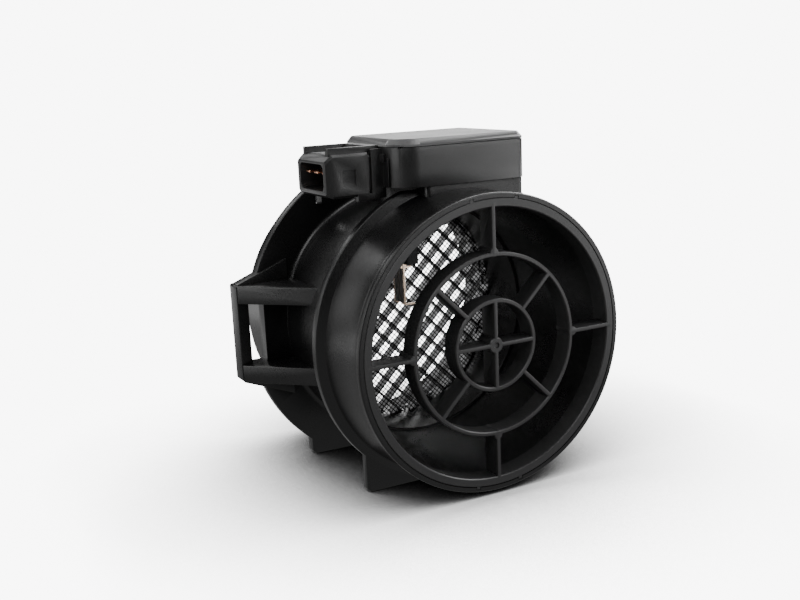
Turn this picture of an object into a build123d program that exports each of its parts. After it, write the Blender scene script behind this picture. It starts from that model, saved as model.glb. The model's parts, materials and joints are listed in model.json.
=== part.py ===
"""Hot-film mass airflow sensor: a moulded flow tube with an electronics case on top.

Frame: the tube axis is Y.  y = 0 is the outlet face with the plastic grille, and +Y runs
upstream to the air-box end.  Z is up, and the feet stand on z = -FOOT_DROP.  All sizes in mm.
"""

import os
from math import radians, sqrt, tan

from build123d import *

# ---------------------------------------------------------------- driving dimensions
# Flow path, from the throat outwards
TUBE_LENGTH = 91.0          # outlet face to inlet face
THROAT_R = 40.5             # parallel throat that holds the sensing films
THROAT_STEP = 0.8           # step where the outlet bore narrows to the throat
THROAT_STEP_Y = 48.0
OUTLET_TAPER = 2.2          # growth of the outlet bore from that step to the grille
SCREEN_SEAT_Y = 67.3        # shoulder that the wire screen lies on
SCREEN_SEAT_STEP = 2.7      # height of that shoulder
MOUTH_FLARE = 1.1           # growth of the inlet bore at its mouth
MOUTH_FLARE_LENGTH = 10.0
NECK_WALL = 3.1             # tube wall between the two flanges, outside the throat

# Hose spigot at the outlet
RIM_WALL = 1.58             # wall round the grille's plate
RIM_WIDTH = 2.3             # bead that keeps the hose on
RIM_CHAMFER = 0.4
RIM_GROOVE_DEPTH = 0.9      # line between the bead and the clamp seat
RIM_GROOVE_WIDTH = 0.7
SADDLE_START_DROP = 0.6     # concave seat for the hose clamp, measured from the bead
SADDLE_WAIST_DROP = 1.0
SADDLE_END_RISE = 0.4
SADDLE_WAIST_Y = 9.0
SADDLE_END_Y = 22.6

# Hose stop flange
STOP_FLANGE_HEIGHT = 2.9    # above the end of the clamp seat
STOP_FLANGE_Y = 23.6        # front face at the rim
STOP_FLANGE_THICKNESS = 3.0
NECK_CHAMFER = 1.6          # where both flanges meet the neck

# Air-box flange and the spigot that plugs into the air box
COLLAR_CHAMFER = 0.5
BOX_FLANGE_HEIGHT = 8.0     # above that spigot
BOX_FLANGE_Y = 66.0
BOX_FLANGE_THICKNESS = 4.0

# Feet: flat-bottomed corners of both flanges
FLOOR_CLEARANCE = 0.2       # air-box spigot above the surface the feet stand on
FRONT_FOOT_HALF_WIDTH = 35.8
REAR_FOOT_HALF_WIDTH = 36.8
FOOT_CHAMFER = 1.2

# Clip loops on both sides of the air-box flange
WINDOW_GAP = 3.2            # air-box spigot to the window
WINDOW_WIDTH = 5.4
WINDOW_HALF_HEIGHT = 10.75
LOOP_BAR_WIDTH = 3.9        # outer bar
LOOP_BAR_DEPTH = 6.6        # outer bar, front to back
LOOP_HALF_HEIGHT = 16.85
LOOP_CENTER_Z = -0.3
LOOP_SLOPE = 22.5           # degrees, edges that run back to the tube
LOOP_STAND = 1.1            # front face, proud of the flange
LOOP_CHAMFER = 0.8
GUSSET_ANGLE = 45.0         # plan angle of the arms that brace the loop
GUSSET_SINK = 1.0           # root of those arms inside the neck

# Slot through the air-box flange beside the spigot
SLOT_X = -28.75
SLOT_WIDTH = 2.2
SLOT_HEIGHT = 4.6
SLOT_GAP = 1.77             # spigot to the slot, measured along Z

# Outlet grille
GRILLE_LIP = 0.2            # sleeve, proud of the outlet bore
GRILLE_SLEEVE_WALL = 1.6
GRILLE_PLATE_STEP = 1.1     # plate, proud of the sleeve
GRILLE_PLATE = 1.8          # thickness of the visible flat ring
GRILLE_DEPTH = 7.0
INNER_RING_R = 14.16        # centre lines of the two rings
MIDDLE_RING_R = 28.72
GRILLE_RIB = 1.35           # width of the rings and spokes
HUB_R = 2.5
EJECTOR_PAD_R = 1.5
KEY_ANGLES = (79.5, 99.5, 260.0, 280.0)
KEY_WIDTH = 1.4
KEY_HEIGHT = 0.7
GRILLE_FIT = 0.12           # radial clearance in the tube

# Screen, flow grid and the ring that holds them
SCREEN_THICKNESS = 0.3
SCREEN_PITCH = 1.35
SCREEN_WIRE = 0.34
SCREEN_RIDGE = 0.2
SCREEN_RIDGE_PITCH = 5.4    # every fourth wire stands out as a ridge
SCREEN_GAP_PITCH = 10.8     # every eighth mesh, each way, is an open gap
SCREEN_RIM = 1.6
GRID_PITCH = 5.55
GRID_STRIP = 0.45
GRID_DEPTH = 5.0
GRID_RIM = 1.5
WEAVE_ANGLE = 45.0
STACK_FIT = 0.2             # radial clearance of the stack in the inlet bore
RING_THICKNESS = 1.2
RING_WIDTH = 2.2
RING_OPENING = 9.0

# Inlet face seal
SEAL_WIDTH = 1.8
SEAL_GROOVE_DEPTH = 2.6
SEAL_STAND = 0.8
SEAL_FIT = 0.15
SEAL_INNER_WALL = 1.25      # inlet mouth to the groove
SEAL_OUTER_WALL = 1.15      # groove to the outside of the spigot

# Electronics case
CASE_LIFT = 1.2             # underside above the end of the clamp seat
CASE_CENTER_X = 0.7
CASE_WIDTH = 46.8
CASE_FRONT_Y = 17.6
CASE_LENGTH = 39.6
CASE_FRONT_CORNER_R = 8.0   # corner beside the connector
CASE_REAR_CORNER_R = 5.0    # corner behind the connector
CASE_RIGHT_CORNER_R = 2.5   # both corners away from the connector
CASE_HEIGHT = 12.3
CASE_WALL = 2.0
CASE_FLOOR = 2.0
POST_SIDE = 3.6
POST_HEIGHT = 1.7
POST_INSET = 2.5
STOP_FLAT_GAP = 1.65        # case to the flat on the hose stop flange

# Tower under the electronics case
TOWER_WIDTH = 36.4
TOWER_SIDE_INSET = 0.3      # from the right side of the case
TOWER_FRONT_INSET = 0.8     # from the front of the case
TOWER_REAR_STAND = 2.8      # past the rear of the case
TOWER_CORNER_R = 1.5

# Lid
LID_THICKNESS = 2.3
LID_BEVEL_RUN = 1.5         # sloped border of the lid
LID_BEVEL_RISE = 1.7
LID_LIP_DEPTH = 1.6
LID_LIP_WIDTH = 1.4
LID_FIT = 0.15
LID_SEAL_HEIGHT = 0.3
LID_SEAL_INSET = 0.3

# Connector, mouth towards -X
PLUG_CENTER_Y = 39.4
PLUG_WIDTH = 22.8
PLUG_DROP = 2.4             # underside below the case's
PLUG_HEIGHT = 13.5
PLUG_REACH = 17.0           # case wall to where the tapered nose starts
NOSE_LENGTH = 2.35
NOSE_SIDE_TAPER = 0.5       # steps in at the mouth
NOSE_TOP_TAPER = 2.0
NOSE_BOTTOM_TAPER = 1.2
PLUG_CHAMFER = 0.8
SOCKET_WIDTH = 18.0
SOCKET_HEIGHT = 8.3
SOCKET_DROP = 0.2           # middle below the connector's
SOCKET_CHAMFER = 1.0
SOCKET_FLOOR_WALL = 2.7     # socket floor to the case wall
STOP_LENGTH = 3.9           # collar behind the plug's seal
STOP_STEP = 0.9             # collar above and below the body
STOP_CROWN = 1.05           # raised middle of the collar between the rails
CROWN_GAP = 0.3             # raised middle to the side of the lid
GAP_LENGTH = 1.0            # groove between collar and body
GAP_DEPTH = 0.8
RAIL_SPACING = 17.5
RAIL_WIDTH = 1.7
RAIL_HEIGHT = 1.95
RAIL_OVERHANG = 0.7         # past the start of the nose
RAIL_SINK = 1.0
LATCH_SETBACK = 5.4         # start of the nose to the middle of the latch window
LATCH_WIDTH = 4.4
LATCH_HEIGHT = 3.9
LATCH_LIFT = 4.7            # above the underside of the connector
LATCH_DEPTH = 0.5
LATCH_WEDGE = 1.3
LUG_REACH = 4.9             # in front of the collar
LUG_OVERLAP = 1.1           # under the collar
LUG_DROP = 1.4
LUG_WIDTH = 3.0
CLIP_SIZE = 2.6             # small catch on the case beside the collar
CLIP_LIFT = 9.1             # middle of the catch above the underside of the case
CLIP_SETBACK = 8.0          # from the front of the case
CLIP_STAND = 0.9
RIB_WIDTH = 0.8
RIB_SETBACK = 5.8
RIB_STAND = 0.45

# Terminals
TERMINAL_COUNT = 3
TERMINAL_PITCH = 6.3
TERMINAL_WIDTH = 2.8
TERMINAL_THICKNESS = 0.8
TERMINAL_INSET = 1.35       # tips behind the mouth of the socket
TERMINAL_TIP_CHAMFER = 0.3
TERMINAL_OVERLAP = 4.0      # length lying on the board
TERMINAL_FIT = 0.05

# Circuit board and its parts, placed from the board's edges and middle
BOARD_THICKNESS = 1.2
BOARD_MARGIN = 3.2          # board edge to the inside of the case wall
CHIP_SIZE = (9.0, 7.0, 1.6)
CHIP_SHIFT = (5.5, -3.4)    # from the middle of the board
TRANSISTOR_SIZE = (6.6, 6.2, 2.3)
TRANSISTOR_TAB = (1.6, 5.0, 0.6)
TRANSISTOR_INSET = (8.5, 5.5)   # from the right and rear edges of the board
CAPACITOR_SIZE = (3.2, 1.6, 1.2)
CAPACITOR_COUNT = 3
CAPACITOR_PITCH = 6.5
CAPACITOR_INSET = 4.2       # from the front edge of the board

# Sensor stem, carried through the tower
STEM_SHIFT_X = -5.7         # from the middle of the case
STEM_INSET_Y = 9.6          # from the rear of the case
STEM_BOSS_R = 7.1
STEM_BOSS_WALL = 1.8        # moulding round the bore where it leaves the tower
STEM_HEAD_SIDE = 15.0
STEM_HEAD_CORNER_R = 2.0
STEM_HEAD_THICKNESS = 1.6
STEM_BLADE_WIDTH = 5.0
STEM_BLADE_LENGTH = 11.2    # along the flow
STEM_BLADE_CORNER_R = 1.2
STEM_BLADE_SHIFT_X = -0.1
STEM_BLADE_SHIFT_Y = 1.0
STEM_REACH = 2.0            # blade tip above the films
STEM_FIT = 0.2
O_RING_R = 0.9
O_RING_DEPTH = 3.7          # below the top of the tower

# Sensing films and the prongs that carry them
FILM_HEIGHT = 12.0
FILM_BOTTOM_Z = 6.1
FILM_WIDTH = 2.9
FILM_THICKNESS = 0.6
FILM_GAP_Y = 0.6            # between the two films, along the flow
FILM_SHIFT_X = -2.0         # from the stem's centre
FILM_SHIFT_Y = 2.5
PRONG_WIDTH = 0.7
PRONG_THICKNESS = 0.6
PRONG_TAB = 4.0
LEAD_COUNT = 4
LEAD_PITCH = 1.8            # spacing of the prongs where they reach the board
LEAD_JOG_HEIGHT = 10.0      # first sideways step above the blade tip
LEAD_JOG_STEP = 1.2

# Modelling allowances
EPS = 0.01                  # sinks a face into its neighbour before a fuse
CUT_MARGIN = 1.0            # run-out of a cutting tool past the face it opens

# ---------------------------------------------------------------- derived places
THROAT_STEP_R = THROAT_R + THROAT_STEP
OUTLET_BORE_R = THROAT_STEP_R + OUTLET_TAPER
INLET_BORE_R = THROAT_R + SCREEN_SEAT_STEP
INLET_MOUTH_R = INLET_BORE_R + MOUTH_FLARE
NECK_R = THROAT_R + NECK_WALL
GRILLE_INNER_R = OUTLET_BORE_R - GRILLE_LIP
GRILLE_SLEEVE_R = GRILLE_INNER_R + GRILLE_SLEEVE_WALL
GRILLE_R = GRILLE_SLEEVE_R + GRILLE_PLATE_STEP
RIM_R = GRILLE_R + GRILLE_FIT + RIM_WALL
SADDLE_START_R = RIM_R - SADDLE_START_DROP
SADDLE_WAIST_R = RIM_R - SADDLE_WAIST_DROP
SADDLE_END_R = RIM_R + SADDLE_END_RISE
STOP_FLANGE_R = SADDLE_END_R + STOP_FLANGE_HEIGHT
STOP_FLANGE_BACK_Y = STOP_FLANGE_Y + STOP_FLANGE_THICKNESS
SEAL_MEAN_R = INLET_MOUTH_R + SEAL_INNER_WALL + SEAL_FIT + SEAL_WIDTH / 2
COLLAR_R = SEAL_MEAN_R + SEAL_WIDTH / 2 + SEAL_FIT + SEAL_OUTER_WALL
BOX_FLANGE_R = COLLAR_R + BOX_FLANGE_HEIGHT
BOX_FLANGE_BACK_Y = BOX_FLANGE_Y + BOX_FLANGE_THICKNESS
FOOT_DROP = COLLAR_R + FLOOR_CLEARANCE
WINDOW_INNER_X = COLLAR_R + WINDOW_GAP
WINDOW_OUTER_X = WINDOW_INNER_X + WINDOW_WIDTH
LOOP_X = WINDOW_OUTER_X + LOOP_BAR_WIDTH
LOOP_Y = BOX_FLANGE_Y - LOOP_STAND
SLOT_BOTTOM_Z = sqrt(COLLAR_R ** 2 - SLOT_X ** 2) + SLOT_GAP
STACK_R = INLET_BORE_R - STACK_FIT
SCREEN_BACK_Y = SCREEN_SEAT_Y + SCREEN_THICKNESS + 2 * SCREEN_RIDGE
GRID_BACK_Y = SCREEN_BACK_Y + GRID_DEPTH
RING_BACK_Y = GRID_BACK_Y + RING_THICKNESS
CASE_BOTTOM_Z = SADDLE_END_R + CASE_LIFT
CASE_TOP_Z = CASE_BOTTOM_Z + CASE_HEIGHT
CASE_LEFT_X = CASE_CENTER_X - CASE_WIDTH / 2
CASE_REAR_Y = CASE_FRONT_Y + CASE_LENGTH
CASE_CENTER_Y = CASE_FRONT_Y + CASE_LENGTH / 2
STOP_FLAT_Z = CASE_BOTTOM_Z - STOP_FLAT_GAP
FLOOR_Z = CASE_BOTTOM_Z + CASE_FLOOR
BOARD_Z = FLOOR_Z + POST_HEIGHT
BOARD_TOP_Z = BOARD_Z + BOARD_THICKNESS
BOARD_WIDTH = CASE_WIDTH - 2 * (CASE_WALL + BOARD_MARGIN)
BOARD_LENGTH = CASE_LENGTH - 2 * (CASE_WALL + BOARD_MARGIN)
BOARD_LEFT_X = CASE_CENTER_X - BOARD_WIDTH / 2
BOARD_RIGHT_X = CASE_CENTER_X + BOARD_WIDTH / 2
BOARD_FRONT_Y = CASE_CENTER_Y - BOARD_LENGTH / 2
BOARD_REAR_Y = CASE_CENTER_Y + BOARD_LENGTH / 2
TOWER_RIGHT_X = CASE_CENTER_X + CASE_WIDTH / 2 - TOWER_SIDE_INSET
TOWER_FRONT_Y = CASE_FRONT_Y + TOWER_FRONT_INSET
TOWER_REAR_Y = CASE_REAR_Y + TOWER_REAR_STAND
PLUG_BOTTOM_Z = CASE_BOTTOM_Z - PLUG_DROP
PLUG_TOP_Z = PLUG_BOTTOM_Z + PLUG_HEIGHT
PLUG_MID_Z = PLUG_BOTTOM_Z + PLUG_HEIGHT / 2
PLUG_NEAR_Y = PLUG_CENTER_Y - PLUG_WIDTH / 2
PLUG_END_X = CASE_LEFT_X - PLUG_REACH
MOUTH_X = PLUG_END_X - NOSE_LENGTH
STOP_X = CASE_LEFT_X - STOP_LENGTH
LATCH_X = PLUG_END_X + LATCH_SETBACK
TERMINAL_TIP_X = MOUTH_X + TERMINAL_INSET
STEM_X = CASE_CENTER_X + STEM_SHIFT_X
STEM_Y = CASE_REAR_Y - STEM_INSET_Y
STEM_SHELF_Z = sqrt(THROAT_R ** 2 - (abs(STEM_X) + STEM_BOSS_R) ** 2)
FILM_TOP_Z = FILM_BOTTOM_Z + FILM_HEIGHT
STEM_TIP_Z = FILM_TOP_Z + STEM_REACH
FILM_X = STEM_X + FILM_SHIFT_X
HOT_FILM_Y = STEM_Y + FILM_SHIFT_Y - (FILM_WIDTH + FILM_GAP_Y) / 2
TEMP_FILM_Y = HOT_FILM_Y + FILM_WIDTH + FILM_GAP_Y


# ---------------------------------------------------------------- helpers
def across(y):
    """Plane at station y, seen from the outlet: local x is X, local y is Z, normal is -Y."""
    return Plane(origin=(0, y, 0), x_dir=(1, 0, 0), z_dir=(0, -1, 0))


def slab(sketch, y0, y1):
    """Extrude a sketch drawn in X and Z from station y0 to station y1."""
    return extrude(across(y1) * sketch, y1 - y0)


def floor_slab(sketch, z0, z1):
    """Extrude a sketch drawn in X and Y from height z0 to height z1."""
    return extrude(Plane.XY.offset(z0) * sketch, z1 - z0)


def side_slab(sketch, x0, x1):
    """Extrude a sketch drawn in Y and Z from x0 to x1."""
    return extrude(Plane.YZ.offset(x0) * sketch, x1 - x0)


def block(x0, x1, y0, y1, z0, z1):
    """Box between two corners."""
    mid = ((x0 + x1) / 2, (y0 + y1) / 2, (z0 + z1) / 2)
    return Pos(*mid) * Box(x1 - x0, y1 - y0, z1 - z0)


def turned(points):
    """Solid of revolution about the tube axis from (radius, station) corners."""
    return revolve(make_face(Polyline(*points, close=True)), Axis.Y)


def ring(outer_r, inner_r, y0, y1):
    """Plain ring about the tube axis."""
    return slab(Circle(outer_r) - Circle(inner_r), y0, y1)


def half_chord(radius, offset):
    """Half the chord of a circle at a distance from its centre."""
    return sqrt(max(radius ** 2 - offset ** 2, 0.0))


# ---------------------------------------------------------------- housing
def tube_outside():
    """Everything turned on the outside of the housing, as one solid of revolution."""
    groove_y = RIM_WIDTH + RIM_GROOVE_WIDTH
    rim = Polyline(
        (0, 0),
        (RIM_R - RIM_CHAMFER, 0),
        (RIM_R, RIM_CHAMFER),
        (RIM_R, RIM_WIDTH),
        (RIM_R - RIM_GROOVE_DEPTH, RIM_WIDTH),
        (RIM_R - RIM_GROOVE_DEPTH, groove_y),
        (SADDLE_START_R, groove_y),
    )
    saddle = ThreePointArc(
        (SADDLE_START_R, groove_y),
        (SADDLE_WAIST_R, SADDLE_WAIST_Y),
        (SADDLE_END_R, SADDLE_END_Y),
    )
    rear = Polyline(
        (SADDLE_END_R, SADDLE_END_Y),
        (STOP_FLANGE_R, STOP_FLANGE_Y),
        (STOP_FLANGE_R, STOP_FLANGE_BACK_Y),
        (NECK_R + NECK_CHAMFER, STOP_FLANGE_BACK_Y),
        (NECK_R, STOP_FLANGE_BACK_Y + NECK_CHAMFER),
        (NECK_R, BOX_FLANGE_Y - NECK_CHAMFER),
        (NECK_R + NECK_CHAMFER, BOX_FLANGE_Y),
        (BOX_FLANGE_R, BOX_FLANGE_Y),
        (BOX_FLANGE_R, BOX_FLANGE_BACK_Y),
        (COLLAR_R, BOX_FLANGE_BACK_Y),
        (COLLAR_R, TUBE_LENGTH - COLLAR_CHAMFER),
        (COLLAR_R - COLLAR_CHAMFER, TUBE_LENGTH),
        (0, TUBE_LENGTH),
        (0, 0),
    )
    return revolve(make_face(rim + saddle + rear), Axis.Y)


def tube_bore():
    """The whole flow path with the seats of the grille, screen stack and ring."""
    seat_r = GRILLE_R + GRILLE_FIT
    sleeve_r = GRILLE_SLEEVE_R + GRILLE_FIT
    flare_y = TUBE_LENGTH - MOUTH_FLARE_LENGTH
    return turned([
        (0, 0),
        (seat_r, 0),
        (seat_r, GRILLE_PLATE),
        (sleeve_r, GRILLE_PLATE),
        (sleeve_r, GRILLE_DEPTH),
        (OUTLET_BORE_R, GRILLE_DEPTH),
        (THROAT_STEP_R, THROAT_STEP_Y),
        (THROAT_R, THROAT_STEP_Y),
        (THROAT_R, SCREEN_SEAT_Y),
        (INLET_BORE_R, SCREEN_SEAT_Y),
        (INLET_BORE_R, flare_y),
        (INLET_MOUTH_R, TUBE_LENGTH),
        (0, TUBE_LENGTH),
    ])


def flange_feet(half_width, y0, y1):
    """Square corners that carry a round flange down to the floor."""
    corner = Rectangle(2 * half_width, FOOT_DROP, align=(Align.CENTER, Align.MAX))
    foot = slab(corner, y0, y1)
    low = foot.edges().filter_by(Axis.Y).group_by(Axis.Z)[0]
    return chamfer(low, FOOT_CHAMFER)


def blunt_left(sketch):
    """Take the outer corners off a sketch of the loop."""
    return chamfer(sketch.vertices().group_by(Axis.X)[0], LOOP_CHAMFER)


def clip_loop():
    """Left-hand loop plate with its sloping edges and deeper outer bar, before the window."""
    run = (LOOP_X - NECK_R) * tan(radians(LOOP_SLOPE))
    root = LOOP_HALF_HEIGHT + run
    outline = Polyline(
        (-NECK_R, -root),
        (-LOOP_X, -LOOP_HALF_HEIGHT),
        (-LOOP_X, LOOP_HALF_HEIGHT),
        (-NECK_R, root),
        close=True,
    )
    plate = Pos(0, LOOP_CENTER_Z) * blunt_left(Sketch() + make_face(outline))
    bar = blunt_left(Rectangle(LOOP_BAR_WIDTH, 2 * LOOP_HALF_HEIGHT))
    bar = Pos(-LOOP_X + LOOP_BAR_WIDTH / 2, LOOP_CENTER_Z) * bar
    loop = slab(plate, LOOP_Y, BOX_FLANGE_BACK_Y)
    return loop + slab(bar, LOOP_Y, LOOP_Y + LOOP_BAR_DEPTH)


def gusset(z0, z1):
    """Triangular arm between the loop and the neck, at heights from the loop's middle."""
    reach_x = half_chord(NECK_R, LOOP_HALF_HEIGHT) - GUSSET_SINK
    run = LOOP_X - reach_x
    plan = Polyline(
        (-LOOP_X, LOOP_Y),
        (-reach_x, LOOP_Y - run * tan(radians(GUSSET_ANGLE))),
        (-reach_x, LOOP_Y),
        close=True,
    )
    return floor_slab(make_face(plan), LOOP_CENTER_Z + z0, LOOP_CENTER_Z + z1)


def loop_window():
    """Opening for the air-box clip, cut through the loop and the edge of the flange."""
    mid_x = -(WINDOW_INNER_X + WINDOW_WIDTH / 2)
    hole = Rectangle(WINDOW_WIDTH, 2 * WINDOW_HALF_HEIGHT)
    return slab(Pos(mid_x, LOOP_CENTER_Z) * hole, LOOP_Y - CUT_MARGIN, LOOP_Y + LOOP_BAR_DEPTH + CUT_MARGIN)


def tower():
    """Raised platform that the electronics case sits on."""
    length = TOWER_REAR_Y - TOWER_FRONT_Y
    plan = Pos(TOWER_RIGHT_X - TOWER_WIDTH / 2, TOWER_FRONT_Y + length / 2)
    plan *= RectangleRounded(TOWER_WIDTH, length, TOWER_CORNER_R)
    plan += Pos(STEM_X, STEM_Y) * Circle(STEM_BOSS_R + STEM_FIT + STEM_BOSS_WALL)
    return floor_slab(plan, half_chord(THROAT_R, TOWER_RIGHT_X), CASE_BOTTOM_Z)


def key_notches(depth_y, grow):
    """Small keys round the grille, or their notches when grown by a clearance."""
    keys = Part()
    for angle in KEY_ANGLES:
        radius = GRILLE_R + KEY_HEIGHT / 2
        size = Rectangle(KEY_HEIGHT + 2 * GRILLE_FIT + 2 * grow, KEY_WIDTH + 2 * grow)
        keys += slab(Rot(0, 0, angle) * (Pos(radius, 0) * size), 0, depth_y)
    return keys


def seal_groove():
    """Groove in the inlet face for the rubber ring."""
    half = SEAL_WIDTH / 2 + SEAL_FIT
    return ring(SEAL_MEAN_R + half, SEAL_MEAN_R - half, TUBE_LENGTH - SEAL_GROOVE_DEPTH, TUBE_LENGTH)


def stem_bore():
    """Hole through the tower for the sensor stem."""
    hole = Pos(STEM_X, STEM_Y) * Circle(STEM_BOSS_R + STEM_FIT)
    return floor_slab(hole, STEM_SHELF_Z - CUT_MARGIN, CASE_BOTTOM_Z)


def flange_slot():
    """Slot through the air-box flange beside the collar."""
    return block(
        SLOT_X - SLOT_WIDTH / 2, SLOT_X + SLOT_WIDTH / 2,
        BOX_FLANGE_Y - CUT_MARGIN, BOX_FLANGE_BACK_Y + CUT_MARGIN,
        SLOT_BOTTOM_Z, SLOT_BOTTOM_Z + SLOT_HEIGHT,
    )


def housing():
    """Flow tube, flanges, feet, clip loops and tower: one moulding."""
    body = tube_outside()
    above = 2 * STOP_FLANGE_R
    body -= block(-above, above, SADDLE_END_Y, STOP_FLANGE_BACK_Y, STOP_FLAT_Z, above)
    body += flange_feet(FRONT_FOOT_HALF_WIDTH, STOP_FLANGE_Y, STOP_FLANGE_BACK_Y)
    body += flange_feet(REAR_FOOT_HALF_WIDTH, BOX_FLANGE_Y, BOX_FLANGE_BACK_Y)
    side = clip_loop()
    side += gusset(WINDOW_HALF_HEIGHT, LOOP_HALF_HEIGHT)
    side += gusset(-LOOP_HALF_HEIGHT, -WINDOW_HALF_HEIGHT)
    window = loop_window()
    body += side + mirror(side, Plane.YZ)
    body += tower()
    body -= window + mirror(window, Plane.YZ)
    body -= block(-above, above, 0, TUBE_LENGTH, -above, -FOOT_DROP)
    body -= tube_bore()
    body -= key_notches(GRILLE_PLATE, GRILLE_FIT)
    body -= seal_groove()
    body -= stem_bore()
    body -= flange_slot()
    return body


# ---------------------------------------------------------------- outlet grille
def spoke(angle, r0, r1):
    """One spoke between two radii, its full depth along the tube."""
    bar = Pos((r0 + r1) / 2, 0) * Rectangle(r1 - r0, GRILLE_RIB)
    return Rot(0, 0, angle) * bar


def outlet_grille():
    """Rings and spokes inside a sleeve that snaps into the outlet."""
    half = GRILLE_RIB / 2
    web = Circle(INNER_RING_R + half) - Circle(INNER_RING_R - half)
    web += Circle(MIDDLE_RING_R + half) - Circle(MIDDLE_RING_R - half)
    web += Circle(HUB_R)
    for quarter in range(4):
        web += spoke(90 * quarter, 0, INNER_RING_R)
        web += spoke(90 * quarter + 45, INNER_RING_R, MIDDLE_RING_R)
        web += spoke(90 * quarter, MIDDLE_RING_R, GRILLE_INNER_R + half)
        pad = Pos(MIDDLE_RING_R + half, 0) * Circle(EJECTOR_PAD_R)
        web += Rot(0, 0, 90 * quarter) * pad
    grille = slab(web, 0, GRILLE_DEPTH)
    grille += ring(GRILLE_R, GRILLE_INNER_R, 0, GRILLE_PLATE)
    grille += ring(GRILLE_SLEEVE_R, GRILLE_INNER_R, 0, GRILLE_DEPTH)
    grille += key_notches(GRILLE_PLATE, 0)
    return grille


# ---------------------------------------------------------------- screen, grid, ring, seal
def parallel_strips(radius, width, pitch, angle):
    """Parallel strips across a disc, one pitch apart."""
    count = int(radius // pitch)
    lines = Sketch()
    for step in range(-count, count + 1):
        offset = step * pitch
        lines += Pos(0, offset) * Rectangle(2 * half_chord(radius, offset), width)
    return Rot(0, 0, angle) * lines


def screen_gaps():
    """Open meshes in the screen wall, spread evenly between the wires."""
    side = SCREEN_PITCH - SCREEN_WIRE
    reach = STACK_R - SCREEN_RIM - side
    count = int(reach // SCREEN_GAP_PITCH) + 1
    gaps = Sketch()
    for row in range(-count, count):
        for col in range(-count, count):
            x = col * SCREEN_GAP_PITCH + SCREEN_PITCH / 2
            z = row * SCREEN_GAP_PITCH + SCREEN_PITCH / 2
            if sqrt(x ** 2 + z ** 2) < reach:
                gaps += Pos(x, z) * Rectangle(side, side)
    return Rot(0, 0, WEAVE_ANGLE) * gaps


def wire_screen():
    """Fine wire screen: warp ridges on one face, weft on the other, inside a pressed rim."""
    inner_r = STACK_R - SCREEN_RIM
    wall_y = SCREEN_SEAT_Y + SCREEN_RIDGE
    wall_back = wall_y + SCREEN_THICKNESS
    gaps = slab(screen_gaps(), SCREEN_SEAT_Y, SCREEN_BACK_Y)
    wall = slab(Circle(STACK_R), wall_y, wall_back)
    warp = parallel_strips(inner_r, SCREEN_WIRE, SCREEN_RIDGE_PITCH, WEAVE_ANGLE)
    weft = parallel_strips(inner_r, SCREEN_WIRE, SCREEN_RIDGE_PITCH, WEAVE_ANGLE + 90)
    rim = Circle(STACK_R) - Circle(inner_r)
    screen = wall + slab(rim, SCREEN_SEAT_Y, SCREEN_BACK_Y)
    screen += slab(warp, SCREEN_SEAT_Y, wall_y + EPS)
    screen += slab(weft, wall_back - EPS, SCREEN_BACK_Y)
    return screen - gaps


def grid_layer(angle, y0, y1):
    """Half of the flow grid: its share of the frame and the strips that run one way."""
    inner_r = STACK_R - GRID_RIM
    frame = Circle(STACK_R) - Circle(inner_r)
    strips = parallel_strips(inner_r + GRID_RIM / 2, GRID_STRIP, GRID_PITCH, angle)
    return slab(frame + strips, y0, y1)


def flow_grid():
    """Grid of thin strips, crossed in two layers, that straightens the flow ahead of the screen."""
    middle_y = (SCREEN_BACK_Y + GRID_BACK_Y) / 2
    front = grid_layer(WEAVE_ANGLE, SCREEN_BACK_Y, middle_y)
    back = grid_layer(WEAVE_ANGLE + 90, middle_y, GRID_BACK_Y)
    return Compound(children=[front, back])


def retaining_ring():
    """Split spring ring that grips the bore behind the flow grid."""
    split = Pos(0, -INLET_BORE_R) * Rectangle(RING_OPENING, 3 * RING_WIDTH)
    shape = Circle(INLET_BORE_R) - Circle(INLET_BORE_R - RING_WIDTH) - split
    return slab(shape, GRID_BACK_Y, RING_BACK_Y)


def inlet_seal():
    """Rubber ring in the inlet face, narrowed where it meets the air box."""
    half = SEAL_WIDTH / 2
    crown_y = TUBE_LENGTH + SEAL_STAND
    return turned([
        (SEAL_MEAN_R - half, TUBE_LENGTH - SEAL_GROOVE_DEPTH),
        (SEAL_MEAN_R + half, TUBE_LENGTH - SEAL_GROOVE_DEPTH),
        (SEAL_MEAN_R + half, crown_y - half / 2),
        (SEAL_MEAN_R + half / 2, crown_y),
        (SEAL_MEAN_R - half / 2, crown_y),
        (SEAL_MEAN_R - half, crown_y - half / 2),
    ])


# ---------------------------------------------------------------- electronics case
def case_plan(inset):
    """Outline of the case with its four corner radii, stepped in by an inset."""
    outline = Rectangle(CASE_WIDTH - 2 * inset, CASE_LENGTH - 2 * inset)
    left, right = outline.vertices().group_by(Axis.X)
    corners = (
        (left.sort_by(Axis.Y)[0], CASE_FRONT_CORNER_R),
        (left.sort_by(Axis.Y)[1], CASE_REAR_CORNER_R),
        (right[0], CASE_RIGHT_CORNER_R),
        (right[1], CASE_RIGHT_CORNER_R),
    )
    for corner, radius in corners:
        if radius > inset:
            outline = fillet(corner, radius - inset)
    return Pos(CASE_CENTER_X, CASE_CENTER_Y) * outline


def blunt_rectangle(width, height, corner, lift=0.0):
    """Rectangle with its corners taken off, on the connector's middle or lifted from it."""
    outline = Rectangle(width, height)
    outline = chamfer(outline.vertices(), corner)
    return Pos(PLUG_CENTER_Y, PLUG_MID_Z + lift) * outline


def plug_section(inset):
    """Outline of the connector in Y and Z, stepped in by an inset."""
    return blunt_rectangle(PLUG_WIDTH - 2 * inset, PLUG_HEIGHT - 2 * inset, PLUG_CHAMFER)


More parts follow.
